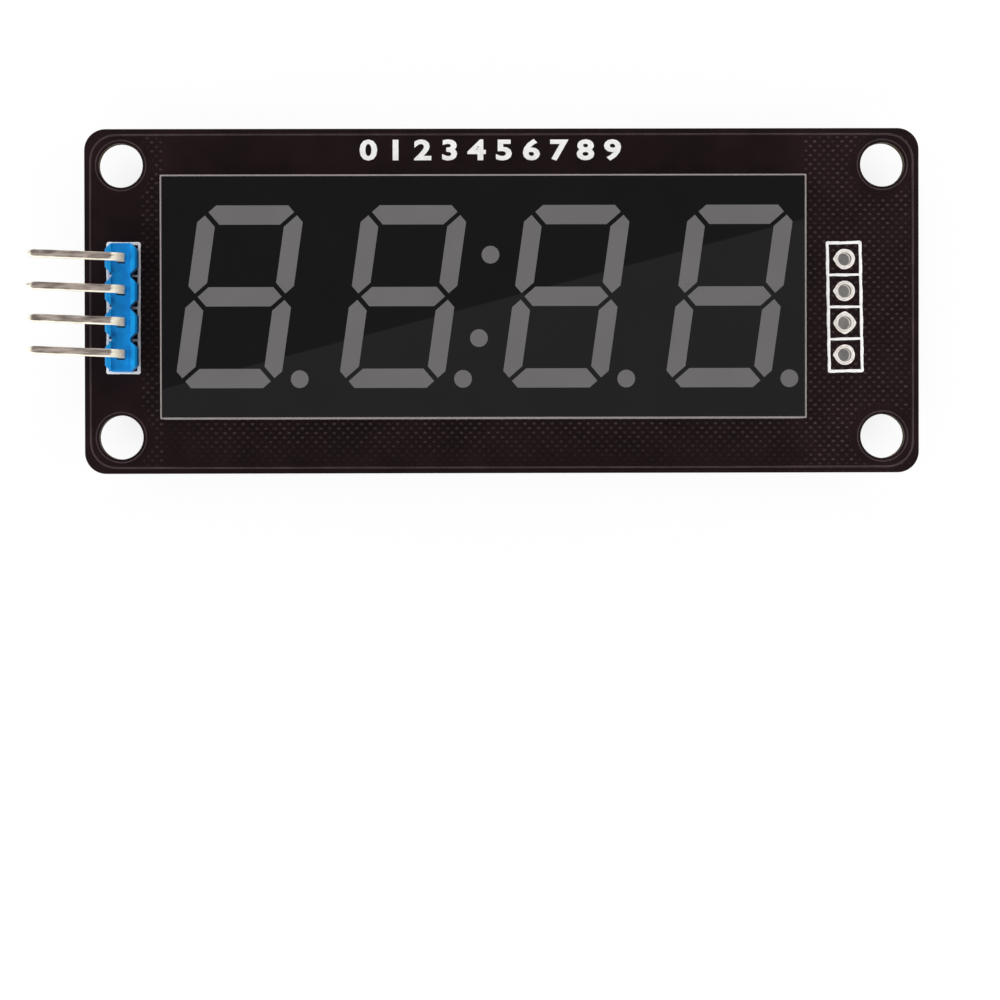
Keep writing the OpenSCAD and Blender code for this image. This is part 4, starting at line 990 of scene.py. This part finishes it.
# %% Joints of the pins
def joint(at, skirt_r, tip_r, height, power, spur=None, darker_by=0.0):
    """Solder joint on the rear face at a place, with an optional (angle, reach) spur on its skirt.

    Returns also how dark each point is: a dark ring round the pin and one dark line running down,
    painted shade on the side away from the light and on the thin edge of the skirt, an even
    darkening of the whole joint, and a painted highlight where a spot on one side stays bright."""
    n = 48
    a = np.linspace(0, 2 * pi, n, endpoint=False)
    t = np.r_[0, 0, np.linspace(0, 1, 16) ** 1.5, 1, 1]
    skirt = skirt_r * (1 + wander(n, 0.012, (2, 3, 5)))
    if spur:
        skirt = skirt + lobe(a, spur[0], 0.3, spur[1])
    core = tip_r * (1 + wander(n, 0.03, (2, 3)))
    fall = (1 - t)[:, None] ** power
    r = core + (skirt - core) * fall
    z = -0.03 - height * t[:, None] + 0.02 * wander(n, 1.0, (2, 4)) * t[:, None]
    z = np.broadcast_to(z, r.shape).copy()
    r[0], z[0] = 0.45 * skirt, -0.005
    z[1] = -0.01
    r[-2], z[-2] = 0.8 * core, z[-3] - 0.03
    r[-1], z[-1] = 0.35 * core, z[-3] - 0.04
    ring = np.exp(-((r - tip_r - 0.045) / 0.05) ** 2) * (t > 0.2)[:, None]
    line = lobe(a, chance.uniform(0, 2 * pi), 0.14, 0.8) * np.clip(4 * t * (1 - t), 0, 1)[:, None]
    # Painted shade: the side away from the light and the thin edge of the skirt are darkened, and the whole
    # joint evenly by a given share.
    away = 0.4 * np.clip(np.cos(a - radians(215)), 0, 1) + darker_by
    edge = 0.6 * np.clip((r / skirt - 0.55) / 0.45, 0, 1)
    x, y = r * np.cos(a), r * np.sin(a)
    # Painted highlight: a spot on one side is kept bright.
    shine = np.exp(-((x / skirt_r - 0.5) ** 2 + (y / skirt_r - 0.15) ** 2) / 0.28 ** 2)
    dark = np.clip(ring + line + away + edge, 0, 1) * (1 - shine)
    return loft(np.stack([at[0] + x, at[1] + y, z], 2)), dark.ravel()


dots_lo, dots_hi = corners("display_pads")
pin_pad_r = 0.75
pin_xs = np.linspace(dots_lo[0] + pin_pad_r, dots_hi[0] - pin_pad_r, 6)
spurs = {(5, 0): (radians(-40), 0.16), (4, 0): (radians(95), 0.12), (2, 0): (radians(50), 0.1),
         (1, 0): (radians(80), 0.08)}
display_joints = []
for row, y_row in enumerate((dots_hi[1] - pin_pad_r, dots_lo[1] + pin_pad_r)):
    for i, pin_x in enumerate(pin_xs):
        display_joints.append(joint((pin_x, y_row), skirt_r=0.71, tip_r=0.27, height=0.9, power=2.6,
                                    spur=spurs.get((i, row)), darker_by=0.15 * row))
header_joints = [joint((header_x, y_row), skirt_r=0.86, tip_r=0.43, height=1.0, power=2.2, darker_by=0.25)
                 for y_row in row_ys]
solder_metal = surface("solder_metal", (178, 172, 160), (255, 252, 245), 0.25, 0.36, metallic=0.35,
                       grain_mm=0.12, grain=0.2)
# The dark attribute brings in the painted shade and painted highlight of the joints, and the dark arcs of
# the beads.
shade(solder_metal, "dark", (64, 55, 50))
for name, joints, node in (("display_joints", display_joints, "display_solder"),
                           ("header_joints", header_joints, "header_solder")):
    piece(name, [part for part, _ in joints], solder_metal, [node], crease=70,
          values={"dark": [dark for _, dark in joints]})
rounded("display_pins", 0.12)

# %% [markdown]
# ## Driver chip
# The gull wing leads are stamped from sheet: a rounded strip swept down the shoulder to its foot.
# The solder lies round each foot in a bead that swells in front of the toe.

# %% Leads
lead_w, lead_t = 0.4, 0.2
shoulder_y, level_z, foot_z, fold_r, slope, tip_y = 3.85, 1.225, 0.15, 0.3, radians(80), 5.15


def lead_path():
    """Middle line of a lead: distance from the chip's middle line, and depth below the board."""
    a = np.linspace(0, slope, 6)
    leg = (level_z - foot_z - 2 * fold_r * (1 - cos(slope))) / sin(slope)
    upper = np.stack([shoulder_y + fold_r * np.sin(a), level_z - fold_r * (1 - np.cos(a))], 1)
    low_y = shoulder_y + 2 * fold_r * sin(slope) + leg * cos(slope)
    lower = np.stack([low_y - fold_r * np.sin(a[::-1]), foot_z + fold_r * (1 - np.cos(a[::-1]))], 1)
    toe = [(tip_y - 0.04, foot_z), (tip_y, foot_z)]
    return np.vstack([[(3.3, level_z), (3.7, level_z)], upper, lower, toe])


def swept_lead(x, side):
    """One lead at a distance along the chip, on side 1 or -1."""
    path = lead_path()
    t = np.gradient(path, axis=0)
    t /= np.linalg.norm(t, axis=1)[:, None]
    size = np.ones(len(path))
    size[-1] = 0.82
    section = round_rect(lead_w, lead_t, 0.045)
    u, v = section[:, 0] * size[:, None], section[:, 1] * size[:, None]
    out = path[:, :1] - v * t[:, 1:]
    deep = path[:, 1:] + v * t[:, :1]
    return loft(np.stack([np.broadcast_to(chip_x + x + u, out.shape), chip_y + side * out, -deep], 2))


def bead(x, side):
    """Solder bead of a lead: at distance s along the pad it is an arch of height h(s), the sum of a
    low fillet beside the foot and a swelling before the toe. A dark arc crosses some toes."""
    heel, front_end = 4.22, 6.17
    s = np.linspace(heel, front_end, 40)
    toe = 0.25 * np.exp(-((s - 5.3) / 0.33) ** 2) + 0.05
    end = np.sqrt(np.clip(1 - ((s - 5.195) / 0.98) ** 2, 0, 1))
    h = (toe + chance.uniform(0, 0.03)) * end + 0.004
    w = np.interp(s, (heel, 4.5, 5.0, 5.3, front_end), (0.24, 0.25, 0.31, 0.35, 0.35))
    w = w * np.clip(1 - ((s - 5.1) / 1.1) ** 8, 0.05, 1) + 0.01 * np.sin(5 * s + x)
    a = np.linspace(0, pi, 13)
    across = w[:, None] * np.cos(a)
    height = 0.045 + h[:, None] * np.sin(a) ** 0.8
    arc = np.exp(-((s[:, None] + 2.0 * across ** 2 - 6.02) / 0.035) ** 2) * chance.uniform(0, 0.9)
    return loft(np.stack([chip_x + x + across, np.broadcast_to(chip_y + side * s[:, None], across.shape),
                          -height], 2)), arc.ravel()


lead_xs = [(i - 4.5) * 1.27 for i in range(10)]
strips = [swept_lead(x, side) for side in (1, -1) for x in lead_xs]
beads = [bead(x, side) for side in (1, -1) for x in lead_xs]
tin = surface("lead_tin", (214, 209, 198), (248, 244, 234), 0.4, 0.4, metallic=0.3)
piece("chip_leads", strips, tin, ["driver_chip_leads"])
piece("chip_beads", [part for part, _ in beads], solder_metal, ["driver_chip_solder"], crease=60,
      values={"dark": [arc for _, arc in beads]})

# %% [markdown]
# ## Small parts
# Each is a ceramic block dipped at both ends in silver and tin. The caps are thickest on their
# outer faces, with round edges. Solder runs up their ends in a hollow slope.

# %% Caps and solder of the small parts
part_l, part_w, pad_z = 1.6, 0.8, -0.05


def caps(part, h, length):
    """The two metal caps of a small part: rounded blocks at its ends, down to a height."""
    px, py = place_of(part)
    made = []
    for side in (1, -1):
        ends = sorted((py + side * part_l / 2, py + side * (part_l / 2 - length)))
        made.append(block((px - part_w / 2, ends[0], pad_z - h), (px + part_w / 2, ends[1], pad_z), 0.07))
    return made


def slope_of(part, side, h):
    """Hollow fillet from the pad up a cap: height h t^2.3 at distance t, arched across by 1 - u^4."""
    px, py = place_of(part)
    t = np.linspace(0, 1, 12)
    u = np.linspace(-1, 1, 11)
    wide = 0.46 - 0.05 * t
    y = py + side * (part_l / 2 + 0.46 * (1 - t) - 0.03 * t)
    top = 0.015 + h * t[:, None] ** 2.3 * (1 - 0.35 * u ** 4)
    x = px + wide[:, None] * np.r_[u, 1, -1]
    z = np.concatenate([pad_z + 0.02 - top, np.full((12, 2), pad_z + 0.02)], 1)
    return loft(np.stack([x, np.broadcast_to(y[:, None], x.shape), z], 2))


heights = {**dict.fromkeys(capacitors, 0.8), **dict.fromkeys(resistors, 0.45), led: 0.3}
cap_tin = surface("cap_tin", (204, 201, 193), (252, 249, 243), 0.3, 0.4, metallic=0.2, grain_mm=0.08,
                  grain=0.2)
for part, height in heights.items():
    stem = part.rsplit("_", 1)[0]
    length = 0.26 if part in capacitors[2:] else 0.37
    piece(stem + "_ends", caps(part, height, length), cap_tin, [stem + "_caps"])
slopes = [slope_of(part, side, 0.55 * h + 0.1) for part, h in heights.items() for side in (1, -1)]
slope_tin = surface("slope_tin", (142, 141, 135), (248, 246, 240), 0.3, 0.4, metallic=0.3, grain_mm=0.1,
                    grain=0.25)
piece("small_slopes", slopes, slope_tin, ["small_solder"], crease=60)

# %% [markdown]
# A laser marks the chip by burning its skin, so the marking has no thickness. Digits that lie in
# the very plane of the chip's face would flicker with it. So the chip's skin is drawn in by a few
# thousandths of a millimetre, and the digits fill that depth.

# %% Digits on the chip and the resistors
sunk = 0.006
shrink = nodes["driver_chip_body"].modifiers.new("sunk", "DISPLACE")
shrink.strength, shrink.mid_level = -sunk * MM, 0.0
marking_ink = surface("marking_ink", (74, 58, 42), (94, 76, 58), 0.3, 0.6, 0.1)
lines = (("0123456", (7.1, 1.2), (-2.62, 0.68)), ("0123456789012", (7.0, 0.62), (-2.58, -0.92)))
piece("chip_digits", [digits(*line, -1, level=float(chip_lo[2]) + sunk, depth=sunk) for line in lines],
      marking_ink)
code_z, code_h = -0.506, 0.008
codes = [digits("000", (0.62, 0.34), place_of(part), -1, 90, 0.02, code_z, code_h) for part in resistors]
piece("resistor_codes", codes, ink)
